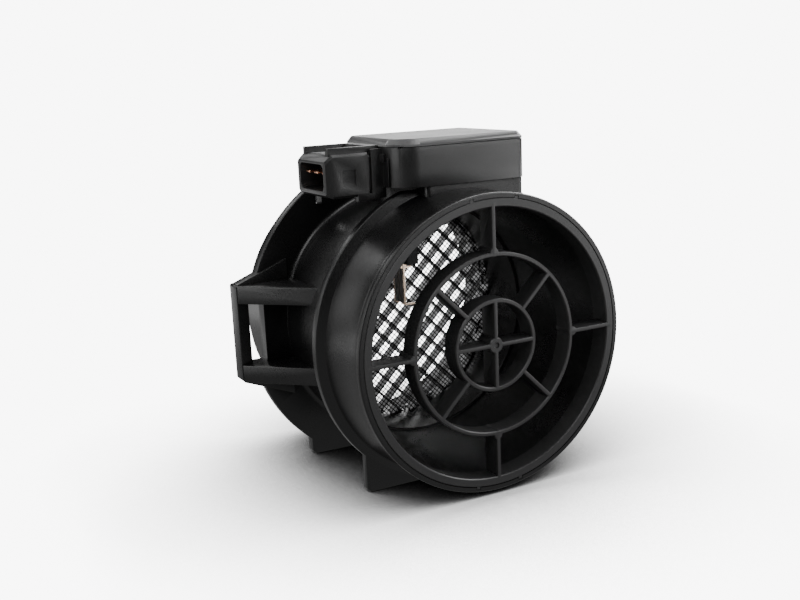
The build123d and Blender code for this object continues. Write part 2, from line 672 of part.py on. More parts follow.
def mouth_section():
    """Outline of the tapered nose at the mouth of the connector."""
    width = PLUG_WIDTH - 2 * NOSE_SIDE_TAPER
    height = PLUG_HEIGHT - NOSE_TOP_TAPER - NOSE_BOTTOM_TAPER
    return blunt_rectangle(width, height, PLUG_CHAMFER, (NOSE_BOTTOM_TAPER - NOSE_TOP_TAPER) / 2)


def latch_recess():
    """Shallow latch window on the near side of the connector, with its ramp below."""
    bottom_z = PLUG_BOTTOM_Z + LATCH_LIFT
    recess = block(
        LATCH_X - LATCH_WIDTH / 2, LATCH_X + LATCH_WIDTH / 2,
        PLUG_NEAR_Y - CUT_MARGIN, PLUG_NEAR_Y + LATCH_DEPTH, bottom_z, bottom_z + LATCH_HEIGHT,
    )
    ramp = Polyline(
        (PLUG_NEAR_Y, bottom_z),
        (PLUG_NEAR_Y + LATCH_DEPTH, bottom_z),
        (PLUG_NEAR_Y, bottom_z - LATCH_WEDGE),
        close=True,
    )
    return recess + side_slab(make_face(ramp), LATCH_X - LATCH_WIDTH / 2, LATCH_X + LATCH_WIDTH / 2)


def guide_rails():
    """Two rails on top of the connector, joined to the collar."""
    rails = Part()
    for side in (-1, 1):
        y = PLUG_CENTER_Y + side * RAIL_SPACING / 2
        rails += block(
            PLUG_END_X - RAIL_OVERHANG, STOP_X + EPS, y - RAIL_WIDTH / 2, y + RAIL_WIDTH / 2,
            PLUG_TOP_Z - RAIL_SINK, PLUG_TOP_Z + RAIL_HEIGHT,
        )
    return rails


def stop_collar():
    """Collar between the connector and the case, with a raised middle between the rails."""
    outline = Pos(PLUG_CENTER_Y, PLUG_MID_Z) * Rectangle(PLUG_WIDTH, PLUG_HEIGHT + 2 * STOP_STEP)
    collar = side_slab(outline, STOP_X, CASE_LEFT_X + CASE_WALL / 2)
    crown_height = STOP_STEP + STOP_CROWN
    crown = Rectangle(RAIL_SPACING + RAIL_WIDTH, crown_height, align=(Align.CENTER, Align.MIN))
    crown = Pos(PLUG_CENTER_Y, PLUG_TOP_Z) * crown
    return collar + side_slab(crown, STOP_X, CASE_LEFT_X - CROWN_GAP)


def underside_lug():
    """Small lug under the near edge of the collar."""
    return block(
        STOP_X - LUG_REACH, STOP_X + LUG_OVERLAP, PLUG_NEAR_Y, PLUG_NEAR_Y + LUG_WIDTH,
        PLUG_BOTTOM_Z - LUG_DROP, PLUG_BOTTOM_Z + STOP_STEP,
    )


def connector():
    """Shrouded socket on the left of the case, with rails, collar and latch marks."""
    body_x = STOP_X - GAP_LENGTH
    shape = side_slab(plug_section(0), PLUG_END_X, body_x)
    nose = Sketch() + Plane.YZ.offset(PLUG_END_X) * plug_section(0)
    mouth = Sketch() + Plane.YZ.offset(MOUTH_X) * mouth_section()
    shape += loft([mouth.face(), nose.face()])
    shape += side_slab(plug_section(GAP_DEPTH), body_x, STOP_X)
    shape += stop_collar() + guide_rails() + underside_lug()
    recess = latch_recess()
    return shape - recess - mirror(recess, Plane.XZ.offset(-PLUG_CENTER_Y))


def socket_hole():
    """The hollow that the terminals stand in."""
    hole = blunt_rectangle(SOCKET_WIDTH, SOCKET_HEIGHT, SOCKET_CHAMFER, -SOCKET_DROP)
    return side_slab(hole, MOUTH_X, CASE_LEFT_X - SOCKET_FLOOR_WALL)


def board_posts():
    """Four posts that hold the circuit board clear of the floor."""
    posts = Part()
    dx = BOARD_WIDTH / 2 - POST_INSET
    dy = BOARD_LENGTH / 2 - POST_INSET
    for side_x in (-1, 1):
        for side_y in (-1, 1):
            place = Pos(CASE_CENTER_X + side_x * dx, CASE_CENTER_Y + side_y * dy)
            posts += floor_slab(place * Rectangle(POST_SIDE, POST_SIDE), FLOOR_Z, BOARD_Z)
    return posts


def case_side_details():
    """Small catch and rib on the left wall, in front of the connector."""
    clip_y = CASE_FRONT_Y + CLIP_SETBACK
    clip_z = CASE_BOTTOM_Z + CLIP_LIFT
    rib_y = CASE_FRONT_Y + RIB_SETBACK
    catch = block(
        CASE_LEFT_X - CLIP_STAND, CASE_LEFT_X + CASE_WALL / 2, clip_y, clip_y + CLIP_SIZE,
        clip_z - CLIP_SIZE / 2, clip_z + CLIP_SIZE / 2,
    )
    rib = block(
        CASE_LEFT_X - RIB_STAND, CASE_LEFT_X + CASE_WALL, rib_y, rib_y + RIB_WIDTH,
        CASE_BOTTOM_Z, clip_z,
    )
    return catch + rib


def electronics_case():
    """Open box with the connector moulded on its left side."""
    case = floor_slab(case_plan(0), CASE_BOTTOM_Z, CASE_TOP_Z)
    case += connector()
    case += case_side_details()
    case -= floor_slab(case_plan(CASE_WALL), FLOOR_Z, CASE_TOP_Z)
    case -= socket_hole()
    case += board_posts()
    for index in range(TERMINAL_COUNT):
        case -= terminal(index, TERMINAL_FIT)
    boss_hole = floor_slab(Pos(STEM_X, STEM_Y) * Circle(STEM_BOSS_R + STEM_FIT), CASE_BOTTOM_Z, FLOOR_Z)
    return case - boss_hole


def case_lid():
    """Flat lid with a sloping border and a lip that locates it inside the case."""
    base_z = CASE_TOP_Z + LID_SEAL_HEIGHT
    flat_z = base_z + LID_THICKNESS - LID_BEVEL_RISE
    top_z = base_z + LID_THICKNESS
    low = Sketch() + Plane.XY.offset(flat_z) * case_plan(0)
    high = Sketch() + Plane.XY.offset(top_z) * case_plan(LID_BEVEL_RUN)
    lid = floor_slab(case_plan(0), base_z, flat_z)
    lid += loft([low.face(), high.face()])
    lip = case_plan(CASE_WALL + LID_FIT) - case_plan(CASE_WALL + LID_FIT + LID_LIP_WIDTH)
    return lid + floor_slab(lip, CASE_TOP_Z - LID_LIP_DEPTH, base_z)


def lid_seal():
    """Bead between the lid and the rim of the case."""
    bead = case_plan(LID_SEAL_INSET) - case_plan(CASE_WALL - LID_FIT)
    return floor_slab(bead, CASE_TOP_Z, CASE_TOP_Z + LID_SEAL_HEIGHT)


# ---------------------------------------------------------------- terminals and board
def terminal(index, grow=0.0):
    """Flat blade from the socket to its pad on the board."""
    y = PLUG_CENTER_Y + (index - (TERMINAL_COUNT - 1) / 2) * TERMINAL_PITCH
    half = TERMINAL_WIDTH / 2 + grow
    end_x = BOARD_LEFT_X + TERMINAL_OVERLAP
    blade = block(
        TERMINAL_TIP_X, end_x, y - half, y + half,
        BOARD_TOP_Z - grow, BOARD_TOP_Z + TERMINAL_THICKNESS + grow,
    )
    tip = blade.faces().sort_by(Axis.X)[0].edges()
    return chamfer(tip, TERMINAL_TIP_CHAMFER)


def circuit_board():
    """Board that carries the control parts."""
    plan = Pos(CASE_CENTER_X, CASE_CENTER_Y) * Rectangle(BOARD_WIDTH, BOARD_LENGTH)
    return floor_slab(plan, BOARD_Z, BOARD_TOP_Z)


def signal_chip():
    """Control chip on the board."""
    length, width, height = CHIP_SIZE
    shift_x, shift_y = CHIP_SHIFT
    plan = Pos(CASE_CENTER_X + shift_x, CASE_CENTER_Y + shift_y) * Rectangle(length, width)
    return floor_slab(plan, BOARD_TOP_Z, BOARD_TOP_Z + height)


def power_transistor():
    """Heating-current transistor with its metal tab towards the board's right edge."""
    length, width, height = TRANSISTOR_SIZE
    tab_length, tab_width, tab_height = TRANSISTOR_TAB
    inset_x, inset_y = TRANSISTOR_INSET
    x, y = BOARD_RIGHT_X - inset_x, BOARD_REAR_Y - inset_y
    body = floor_slab(Pos(x, y) * Rectangle(length, width), BOARD_TOP_Z, BOARD_TOP_Z + height)
    tab = Pos(x + (length + tab_length) / 2, y) * Rectangle(tab_length, tab_width)
    return body + floor_slab(tab, BOARD_TOP_Z, BOARD_TOP_Z + tab_height)


def board_capacitors():
    """Row of small capacitors near the front edge of the board."""
    length, width, height = CAPACITOR_SIZE
    y = BOARD_FRONT_Y + CAPACITOR_INSET
    row = Part()
    for index in range(CAPACITOR_COUNT):
        x = CASE_CENTER_X + (index - (CAPACITOR_COUNT - 1) / 2) * CAPACITOR_PITCH
        row += floor_slab(Pos(x, y) * Rectangle(length, width), BOARD_TOP_Z, BOARD_TOP_Z + height)
    return row


# ---------------------------------------------------------------- stem, films, prongs
def stem_groove():
    """Seat of the O-ring in the stem boss, sized from the bore and the ring."""
    bottom_r = STEM_BOSS_R + STEM_FIT - 2 * O_RING_R
    shape = Circle(STEM_BOSS_R + CUT_MARGIN) - Circle(bottom_r)
    mid = CASE_BOTTOM_Z - O_RING_DEPTH
    return floor_slab(Pos(STEM_X, STEM_Y) * shape, mid - O_RING_R, mid + O_RING_R)


def sensor_stem():
    """Carrier plugged through the tower, with a blade that hangs into the flow."""
    boss = Pos(STEM_X, STEM_Y) * Circle(STEM_BOSS_R)
    head = Pos(STEM_X, STEM_Y) * RectangleRounded(STEM_HEAD_SIDE, STEM_HEAD_SIDE, STEM_HEAD_CORNER_R)
    blade = Pos(STEM_X + STEM_BLADE_SHIFT_X, STEM_Y + STEM_BLADE_SHIFT_Y)
    blade *= RectangleRounded(STEM_BLADE_WIDTH, STEM_BLADE_LENGTH, STEM_BLADE_CORNER_R)
    stem = floor_slab(boss, STEM_SHELF_Z, FLOOR_Z)
    stem += floor_slab(head, FLOOR_Z, FLOOR_Z + STEM_HEAD_THICKNESS)
    stem += floor_slab(blade, STEM_TIP_Z, STEM_SHELF_Z + EPS)
    stem -= stem_groove()
    for make in (hot_film_lower_prong, hot_film_upper_prong, temp_upper_prong, temp_lower_prong):
        stem -= make()
    return stem


def stem_seal():
    """O-ring between the stem boss and the tower."""
    outer_r = STEM_BOSS_R + STEM_FIT
    mid = CASE_BOTTOM_Z - O_RING_DEPTH
    seal = floor_slab(Circle(outer_r) - Circle(outer_r - 2 * O_RING_R), mid - O_RING_R, mid + O_RING_R)
    return Pos(STEM_X, STEM_Y) * seal


def film(center_y):
    """Thin ceramic film standing edge-on to the flow."""
    return block(
        FILM_X - FILM_THICKNESS / 2, FILM_X + FILM_THICKNESS / 2,
        center_y - FILM_WIDTH / 2, center_y + FILM_WIDTH / 2, FILM_BOTTOM_Z, FILM_TOP_Z,
    )


def flat_wire(y0, y1, z0, z1):
    """Straight run of the prong strip between two centre lines."""
    half = PRONG_WIDTH / 2
    return block(
        FILM_X - PRONG_THICKNESS / 2, FILM_X + PRONG_THICKNESS / 2,
        min(y0, y1) - half, max(y0, y1) + half, z0, z1,
    )


def prong(lead, y, end_z):
    """Flat wire from the board to a weld tab at end_z, stepped to its place in the row."""
    board_y = STEM_Y + (lead - (LEAD_COUNT - 1) / 2) * LEAD_PITCH
    jog_z = STEM_TIP_Z + LEAD_JOG_HEIGHT + lead * LEAD_JOG_STEP
    wire = flat_wire(y, y, end_z, jog_z)
    wire += flat_wire(y, board_y, jog_z, jog_z + PRONG_THICKNESS)
    wire += flat_wire(board_y, board_y, jog_z, BOARD_Z)
    half = PRONG_WIDTH / 2
    tab_x = FILM_X - PRONG_THICKNESS / 2
    return wire + block(tab_x, tab_x + PRONG_TAB, y - half, y + half, end_z, end_z + PRONG_THICKNESS)


def lower_prong(lead, film_y, side):
    """Prong beside a film, with a foot that the film's lower end stands on."""
    edge_y = film_y + side * (FILM_WIDTH + PRONG_WIDTH) / 2
    foot_z = FILM_BOTTOM_Z - PRONG_THICKNESS
    return prong(lead, edge_y, foot_z) + flat_wire(film_y, edge_y, foot_z, FILM_BOTTOM_Z)


def hot_film_lower_prong():
    """Prong along the leading edge of the heated film."""
    return lower_prong(0, HOT_FILM_Y, -1)


def hot_film_upper_prong():
    """Prong that lands on top of the heated film."""
    return prong(1, HOT_FILM_Y, FILM_TOP_Z)


def temp_upper_prong():
    """Prong that lands on top of the temperature film."""
    return prong(2, TEMP_FILM_Y, FILM_TOP_Z)


def temp_lower_prong():
    """Prong along the trailing edge of the temperature film."""
    return lower_prong(3, TEMP_FILM_Y, 1)


# ---------------------------------------------------------------- export
PIECES = {
    "housing": housing,
    "outlet_grille": outlet_grille,
    "wire_screen": wire_screen,
    "flow_grid": flow_grid,
    "retaining_ring": retaining_ring,
    "inlet_seal": inlet_seal,
    "electronics_case": electronics_case,
    "case_lid": case_lid,
    "lid_seal": lid_seal,
    "circuit_board": circuit_board,
    "signal_chip": signal_chip,
    "power_transistor": power_transistor,
    "board_capacitors": board_capacitors,
    "sensor_stem": sensor_stem,
    "stem_seal": stem_seal,
    "hot_film": lambda: film(HOT_FILM_Y),
    "temperature_film": lambda: film(TEMP_FILM_Y),
    "hot_film_upper_prong": hot_film_upper_prong,
    "hot_film_lower_prong": hot_film_lower_prong,
    "temperature_film_upper_prong": temp_upper_prong,
    "temperature_film_lower_prong": temp_lower_prong,
}


def main():
    os.makedirs("parts", exist_ok=True)
    for name, make in PIECES.items():
        export_step(make(), f"parts/{name}.step")
    for index in range(TERMINAL_COUNT):
        export_step(terminal(index), f"parts/terminal_{index + 1}.step")


main()
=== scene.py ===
import json
from math import cos, pi, radians, sin, sqrt, tan

import bpy
from bpy.props import FloatProperty, FloatVectorProperty, IntProperty, PointerProperty
from mathutils import Matrix, Vector

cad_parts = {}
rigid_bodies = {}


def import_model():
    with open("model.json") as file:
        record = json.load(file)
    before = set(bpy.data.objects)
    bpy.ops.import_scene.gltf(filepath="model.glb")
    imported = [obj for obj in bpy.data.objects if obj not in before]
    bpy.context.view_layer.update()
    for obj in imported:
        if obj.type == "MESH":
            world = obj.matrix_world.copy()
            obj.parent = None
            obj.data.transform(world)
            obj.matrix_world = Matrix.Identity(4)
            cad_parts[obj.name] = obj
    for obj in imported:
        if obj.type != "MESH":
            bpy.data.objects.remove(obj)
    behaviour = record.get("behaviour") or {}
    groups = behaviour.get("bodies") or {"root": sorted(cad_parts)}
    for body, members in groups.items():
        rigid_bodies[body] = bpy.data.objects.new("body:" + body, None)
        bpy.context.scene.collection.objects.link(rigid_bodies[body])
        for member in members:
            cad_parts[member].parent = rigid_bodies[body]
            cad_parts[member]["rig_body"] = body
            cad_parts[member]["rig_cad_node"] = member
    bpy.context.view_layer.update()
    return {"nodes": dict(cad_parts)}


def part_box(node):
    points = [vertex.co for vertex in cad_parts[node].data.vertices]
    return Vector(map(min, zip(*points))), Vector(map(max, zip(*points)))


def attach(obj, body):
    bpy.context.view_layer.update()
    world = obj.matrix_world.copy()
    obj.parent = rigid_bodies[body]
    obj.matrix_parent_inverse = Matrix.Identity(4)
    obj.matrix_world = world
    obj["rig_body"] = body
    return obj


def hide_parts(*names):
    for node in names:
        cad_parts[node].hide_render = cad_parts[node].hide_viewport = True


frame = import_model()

bl_info = {
    "name": "Mass Airflow Sensor",
    "version": (1, 0, 0),
    "blender": (4, 5, 0),
    "location": "View3D > Sidebar > Airflow",
    "description": "Builds the pieces and finishes of a mass airflow sensor round its frame",
    "category": "Object",
}

MM = 0.001
BODY = "root"


# ---------------------------------------------------------------- sizes and colours
def length(label, description, default_mm):
    """A size property, written in millimetres and kept in metres."""
    return FloatProperty(
        name=label, description=description, default=default_mm * MM, unit="LENGTH", precision=5
    )


def colour(label, description, default):
    return FloatVectorProperty(
        name=label, description=description, default=default, subtype="COLOR", size=3, min=0, max=1
    )


class TubeSizes(bpy.types.PropertyGroup):
    """Sizes of the flow tube's moulding."""

    tube_length: length("Tube length", "Outlet face to inlet face", 91.0)
    rim_radius: length("Rim radius", "Bead that keeps the hose on", 47.7)
    waist_radius: length("Waist radius", "Narrowest part of the clamp seat", 46.7)
    seat_end_radius: length("Seat end radius", "Clamp seat where it meets the stop flange", 48.1)
    neck_radius: length("Neck radius", "Outside of the tube between the flanges", 43.6)
    stop_flange_radius: length("Stop flange radius", "Hose stop flange", 51.0)
    stop_flange_top: length("Stop flange top", "Height of the flat under the case", 47.65)
    box_flange_radius: length("Air-box flange radius", "Flange that carries the clip loops", 56.8)
    collar_radius: length("Collar radius", "Spigot that plugs into the air box", 48.8)
    throat_radius: length("Throat radius", "Parallel bore round the sensing films", 40.5)
    foot_drop: length("Foot drop", "Tube axis down to the surface it stands on", 49.0)
    loop_reach: length("Loop reach", "Tube axis to the outer face of a clip loop", 61.3)
    loop_half_height: length("Loop half height", "Half the height of a clip loop", 16.85)
    window_half_height: length("Window half height", "Half the height of the clip window", 10.75)
    loop_drop: length("Loop drop", "Middle of the clip loops below the tube axis", 0.3)


class GrilleSizes(bpy.types.PropertyGroup):
    """Sizes of the outlet grille."""

    inner_ring: length("Inner ring", "Centre-line radius of the inner ring", 14.16)
    middle_ring: length("Middle ring", "Centre-line radius of the middle ring", 28.72)
    rib_width: length("Rib width", "Width of rings and spokes", 1.35)
    depth: length("Depth", "Depth of the grille along the tube", 7.0)


class ScreenSizes(bpy.types.PropertyGroup):
    """Sizes of the woven screen and the flow grid."""

    pitch: length("Wire pitch", "Spacing of the woven wires", 1.35)
    wire: length("Wire thickness", "Thickness of a woven wire", 0.32)
    radius: length("Screen radius", "Radius that the weave reaches inside its rim", 42.0)
    cell: length("Grid cell", "Spacing of the flow grid's strips", 5.55)
    strip: length("Strip thickness", "Thickness of a flow grid strip", 0.3)


class Finishes(bpy.types.PropertyGroup):
    """Colours of the finishes."""

    plastic: colour("Moulding", "Tube plastic", (0.004, 0.004, 0.0042))
    case: colour("Electronics case", "Plastic of the case and connector", (0.007, 0.007, 0.0072))
    grille: colour("Grille", "Grille plastic", (0.018, 0.018, 0.0183))
    lid: colour("Lid", "Lid plastic", (0.024, 0.024, 0.0245))
    wire: colour("Screen wire", "Woven wire", (0.022, 0.021, 0.02))
    strip: colour("Grid strip", "Flow grid strip", (0.12, 0.12, 0.122))
    prong: colour("Prong", "Gilt prong", (0.95, 0.74, 0.58))
    copper: colour("Terminal", "Copper terminal", (0.93, 0.5, 0.33))
    floor: colour("Floor", "Studio floor", (0.93, 0.93, 0.93))
    turns: IntProperty(
        name="Round steps", description="Steps round a full turn", default=192, min=48
    )


# ---------------------------------------------------------------- modelling helpers
def clear_selection():
    """Leave edit mode and select nothing."""
    active = bpy.context.view_layer.objects.active
    if active is not None and active.mode != "OBJECT":
        bpy.ops.object.mode_set(mode="OBJECT")
    bpy.ops.object.select_all(action="DESELECT")


def take(obj):
    """Select one object and make it active."""
    clear_selection()
    obj.select_set(True)
    bpy.context.view_layer.objects.active = obj
    return obj


def settle(name):
    """Name the new primitive and move its place into its mesh."""
    obj = bpy.context.view_layer.objects.active
    bpy.ops.object.transform_apply(location=True, rotation=True, scale=True)
    obj.name = name
    obj.data.name = name
    return obj


def mm(*values):
    return Vector(values) * MM


def block(name, low, high, turn=0.0):
    """Box between two corners in millimetres, turned about the tube axis."""
    low, high = Vector(low), Vector(high)
    clear_selection()
    spin_y = Matrix.Rotation(-turn, 3, "Y")
    bpy.ops.mesh.primitive_cube_add(
        size=1, location=spin_y @ ((low + high) / 2 * MM), rotation=(0, -turn, 0)
    )
    bpy.context.object.scale = (high - low) * MM
    return settle(name)


def rod(name, radius, centre, axis, start, end, sides=64):
    """Cylinder in millimetres along X, Y or Z."""
    place = list(centre)
    place.insert("XYZ".index(axis), (start + end) / 2)
    turn = {"X": (0, pi / 2, 0), "Y": (pi / 2, 0, 0), "Z": (0, 0, 0)}[axis]
    clear_selection()
    bpy.ops.mesh.primitive_cylinder_add(
        vertices=sides, radius=radius * MM, depth=abs(end - start) * MM,
        location=mm(*place), rotation=turn,
    )
    return settle(name)


def choose(obj, test, kind="EDGE"):
    """Select the edges or faces of obj that pass a test, and enter edit mode."""
    take(obj)
    bpy.ops.object.mode_set(mode="EDIT")
    bpy.ops.mesh.select_mode(type=kind)
    bpy.ops.mesh.select_all(action="DESELECT")
    bpy.ops.object.mode_set(mode="OBJECT")
    verts = obj.data.vertices
    if kind == "EDGE":
        for edge in obj.data.edges:
            a, b = (verts[i].co for i in edge.vertices)
            edge.select = test(a, b)
    else:
        for face in obj.data.polygons:
            face.select = test(face.center, face.normal)
    bpy.ops.object.mode_set(mode="EDIT")


def round_edges(obj, width, steps, test):
    """Bevel the edges that pass a test."""
    choose(obj, test)
    bpy.ops.mesh.bevel(offset=width * MM, segments=steps, affect="EDGES")
    bpy.ops.object.mode_set(mode="OBJECT")
    return obj


def along(axis):
    """A test for edges that run along X, Y or Z."""
    index = "XYZ".index(axis)

    def test(a, b):
        run = b - a
        return abs(run[index]) > 0.999 * run.length

    return test


def soften(obj, width=0.25, steps=2, limit=30.0):
    """Round every sharp edge a little with a bevel modifier."""
    take(obj)
    bpy.ops.object.modifier_add(type="BEVEL")
    bevel = obj.modifiers[-1]
    bevel.width = width * MM
    bevel.segments = steps
    bevel.limit_method = "ANGLE"
    bevel.angle_limit = radians(limit)
    bpy.ops.object.modifier_apply(modifier=bevel.name)
    return obj


def trace(name, points):
    """Closed outline drawn by extruding one vertex from point to point, in metres."""
    clear_selection()
    bpy.ops.mesh.primitive_plane_add(size=MM)
    bpy.ops.object.mode_set(mode="EDIT")
    bpy.ops.mesh.select_mode(type="VERT")
    bpy.ops.mesh.select_all(action="SELECT")
    bpy.ops.mesh.merge(type="CENTER")
    bpy.ops.transform.translate(value=points[0])
    for here, there in zip(points, points[1:] + points[:1]):
        bpy.ops.mesh.extrude_region_move(TRANSFORM_OT_translate={"value": there - here})
    bpy.ops.mesh.select_all(action="SELECT")
    bpy.ops.mesh.remove_doubles(threshold=1e-6)
    obj = bpy.context.object
    obj.name = obj.data.name = name
    return obj


def tidy_mesh(merge=2e-6):
    """Close seams and turn faces outward, in edit mode, then leave it."""
    bpy.ops.mesh.select_all(action="SELECT")
    bpy.ops.mesh.remove_doubles(threshold=merge)
    bpy.ops.mesh.dissolve_degenerate(threshold=1e-7)
    bpy.ops.mesh.delete_loose()
    bpy.ops.mesh.select_all(action="SELECT")
    bpy.ops.mesh.normals_make_consistent(inside=False)
    bpy.ops.object.mode_set(mode="OBJECT")


def turned(name, outline, steps):
    """Solid turned about the tube axis from (radius, station) corners in millimetres."""
    obj = trace(name, [mm(radius, station, 0) for radius, station in outline])
    bpy.ops.mesh.spin(steps=steps, angle=2 * pi, center=(0, 0, 0), axis=(0, 1, 0))
    tidy_mesh()
    return obj


def prism(name, corners, run):
    """Solid swept in a straight line from a closed outline of corners in millimetres."""
    obj = trace(name, [mm(*corner) for corner in corners])
    bpy.ops.mesh.edge_face_add()
    bpy.ops.mesh.extrude_region_move(TRANSFORM_OT_translate={"value": mm(*run)})
    tidy_mesh()
    return obj


def arc(centre, radius, start, end, steps):
    """Points on an arc, angles in degrees."""
    span = radians(end - start)
    turns = [radians(start) + span * i / steps for i in range(steps + 1)]
    return [(centre[0] + radius * cos(t), centre[1] + radius * sin(t)) for t in turns]


def combine(target, tool, operation):
    """Union with, or difference by, another closed mesh, which is used up."""
    take(target)
    bpy.ops.object.modifier_add(type="BOOLEAN")
    change = target.modifiers[-1]
    change.solver = "MANIFOLD"
    change.operation = operation
    change.object = tool
    bpy.ops.object.modifier_apply(modifier=change.name)
    bpy.data.objects.remove(tool)
    return target


def add(target, *tools):
    for tool in tools:
        combine(target, tool, "UNION")
    return target


def cut(target, *tools):
    for tool in tools:
        combine(target, tool, "DIFFERENCE")
    return target


def mirrored(obj, name):
    """Copy of a piece on the other side of the tube axis."""
    take(obj)
    bpy.ops.object.duplicate()
    bpy.context.object.scale.x = -1
    twin = settle(name)
    bpy.ops.object.mode_set(mode="EDIT")
    tidy_mesh()
    return twin


def smooth(obj, limit=32.0):
    """Smooth shading that breaks at real edges."""
    take(obj)
    bpy.ops.object.shade_smooth_by_angle(angle=radians(limit))
    return obj


def finish_piece(obj, nodes, material):
    """Shade a piece, give it its finish, attach it to the body and hide the CAD nodes it stands
    for.
    """
    smooth(obj)
    obj.data.materials.clear()
    obj.data.materials.append(material)
    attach(obj, BODY)
    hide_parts(*nodes)
    return obj


def dress(node, material):
    """Give a CAD node that stays its finish."""
    obj = frame["nodes"][node]
    obj.data.materials.clear()
    obj.data.materials.append(material)


def merged_copy(node, name, width=0.0, steps=2):
    """Clean copy of a CAD node, its sharp edges rounded if a width is given."""
    take(frame["nodes"][node])
    bpy.ops.object.duplicate()
    obj = bpy.context.object
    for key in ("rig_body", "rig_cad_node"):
        if key in obj:
            del obj[key]
    obj.parent = None
    obj.name = obj.data.name = name
    bpy.ops.object.mode_set(mode="EDIT")
    bpy.ops.mesh.select_all(action="SELECT")
    bpy.ops.mesh.remove_doubles(threshold=1e-6)
    bpy.ops.mesh.dissolve_limited(angle_limit=radians(0.6))
    bpy.ops.object.mode_set(mode="OBJECT")
    if width:
        soften(obj, width, steps, 25.0)
    return obj


# ---------------------------------------------------------------- shared shader groups
HAZE_SHARE = 0.18           # haze of dust between the specks
GRAIN_RELIEF = 0.0001       # metres that moulded grain stands out
STREAK_RELIEF = 0.00005     # metres that a drawn metal's streaks stand out


def new_group(name, inputs, outputs):
    """Empty shader group with float inputs and named outputs."""
    group = bpy.data.node_groups.new(name, "ShaderNodeTree")
    for label, default in inputs:
        socket = group.interface.new_socket(label, in_out="INPUT", socket_type="NodeSocketFloat")
        socket.default_value = default
    for label, kind in outputs:
        group.interface.new_socket(label, in_out="OUTPUT", socket_type=kind)
    group.nodes.new("NodeGroupInput")
    group.nodes.new("NodeGroupOutput")
    return group


def link_chain(tree):
    """A short way to add nodes to a tree and link them."""

    def add_node(kind, links=(), **values):
        node = tree.nodes.new(kind)
        for key, value in values.items():
            if key.startswith("in_"):
                node.inputs[key[3:].replace("_", " ")].default_value = value
            else:
                setattr(node, key, value)
        for source, target in links:
            tree.links.new(source, node.inputs[target])
        return node

    return add_node


def moulded_grain_group():
    """Fine moulded texture: a roughness that wanders and a height for bump."""
    group = new_group(
        "Moulded grain",
        [
            ("Grain size", 2400.0), ("Cloud size", 60.0),
            ("Low roughness", 0.35), ("High roughness", 0.5),
        ],
        [("Roughness", "NodeSocketFloat"), ("Height", "NodeSocketFloat")],
    )
    ends = {node.bl_idname: node for node in group.nodes}
    given, result = ends["NodeGroupInput"].outputs, ends["NodeGroupOutput"].inputs
    put = link_chain(group)
    place = put("ShaderNodeTexCoord").outputs["Object"]
    grain = put(
        "ShaderNodeTexNoise", [(place, "Vector"), (given["Grain size"], "Scale")],
        in_Detail=3.0, in_Roughness=0.6,
    )
    cloud = put(
        "ShaderNodeTexNoise", [(place, "Vector"), (given["Cloud size"], "Scale")],
        in_Detail=4.0, in_Roughness=0.55,
    )
    mix = put(
        "ShaderNodeMath", [(cloud.outputs["Fac"], 0), (grain.outputs["Fac"], 1)],
        operation="MULTIPLY",
    )
    spread = put(
        "ShaderNodeMapRange",
        [
            (mix.outputs[0], "Value"), (given["Low roughness"], "To Min"),
            (given["High roughness"], "To Max"),
        ],
        in_From_Min=0.12, in_From_Max=0.4,
    )
    group.links.new(spread.outputs[0], result["Roughness"])
    group.links.new(grain.outputs["Fac"], result["Height"])
    return group


def dust_group():
    """Sparse specks and a faint haze, as a mask."""
    group = new_group(
        "Dust", [("Speck size", 900.0), ("Haze size", 35.0), ("Amount", 0.5)],
        [("Mask", "NodeSocketFloat")],
    )
    ends = {node.bl_idname: node for node in group.nodes}
    given, result = ends["NodeGroupInput"].outputs, ends["NodeGroupOutput"].inputs
    put = link_chain(group)
    place = put("ShaderNodeTexCoord").outputs["Object"]
    speck = put("ShaderNodeTexVoronoi", [(place, "Vector"), (given["Speck size"], "Scale")])
    dots = put(
        "ShaderNodeMapRange", [(speck.outputs["Distance"], "Value")],
        in_From_Min=0.12, in_From_Max=0.05,
    )
    haze = put(
        "ShaderNodeTexNoise", [(place, "Vector"), (given["Haze size"], "Scale")], in_Detail=5.0
    )
    fog = put(
        "ShaderNodeMapRange", [(haze.outputs["Fac"], "Value")],
        in_From_Min=0.52, in_From_Max=0.8,
    )
    both = put("ShaderNodeMath", [(dots.outputs[0], 0), (fog.outputs[0], 1)], operation="MULTIPLY")
    soft = put("ShaderNodeMath", [(fog.outputs[0], 0)], operation="MULTIPLY")
    soft.inputs[1].default_value = HAZE_SHARE
    total = put("ShaderNodeMath", [(both.outputs[0], 0), (soft.outputs[0], 1)], operation="ADD")
    scaled = put(
        "ShaderNodeMath", [(total.outputs[0], 0), (given["Amount"], 1)],
        operation="MULTIPLY", use_clamp=True,
    )
    group.links.new(scaled.outputs[0], result["Mask"])
    return group


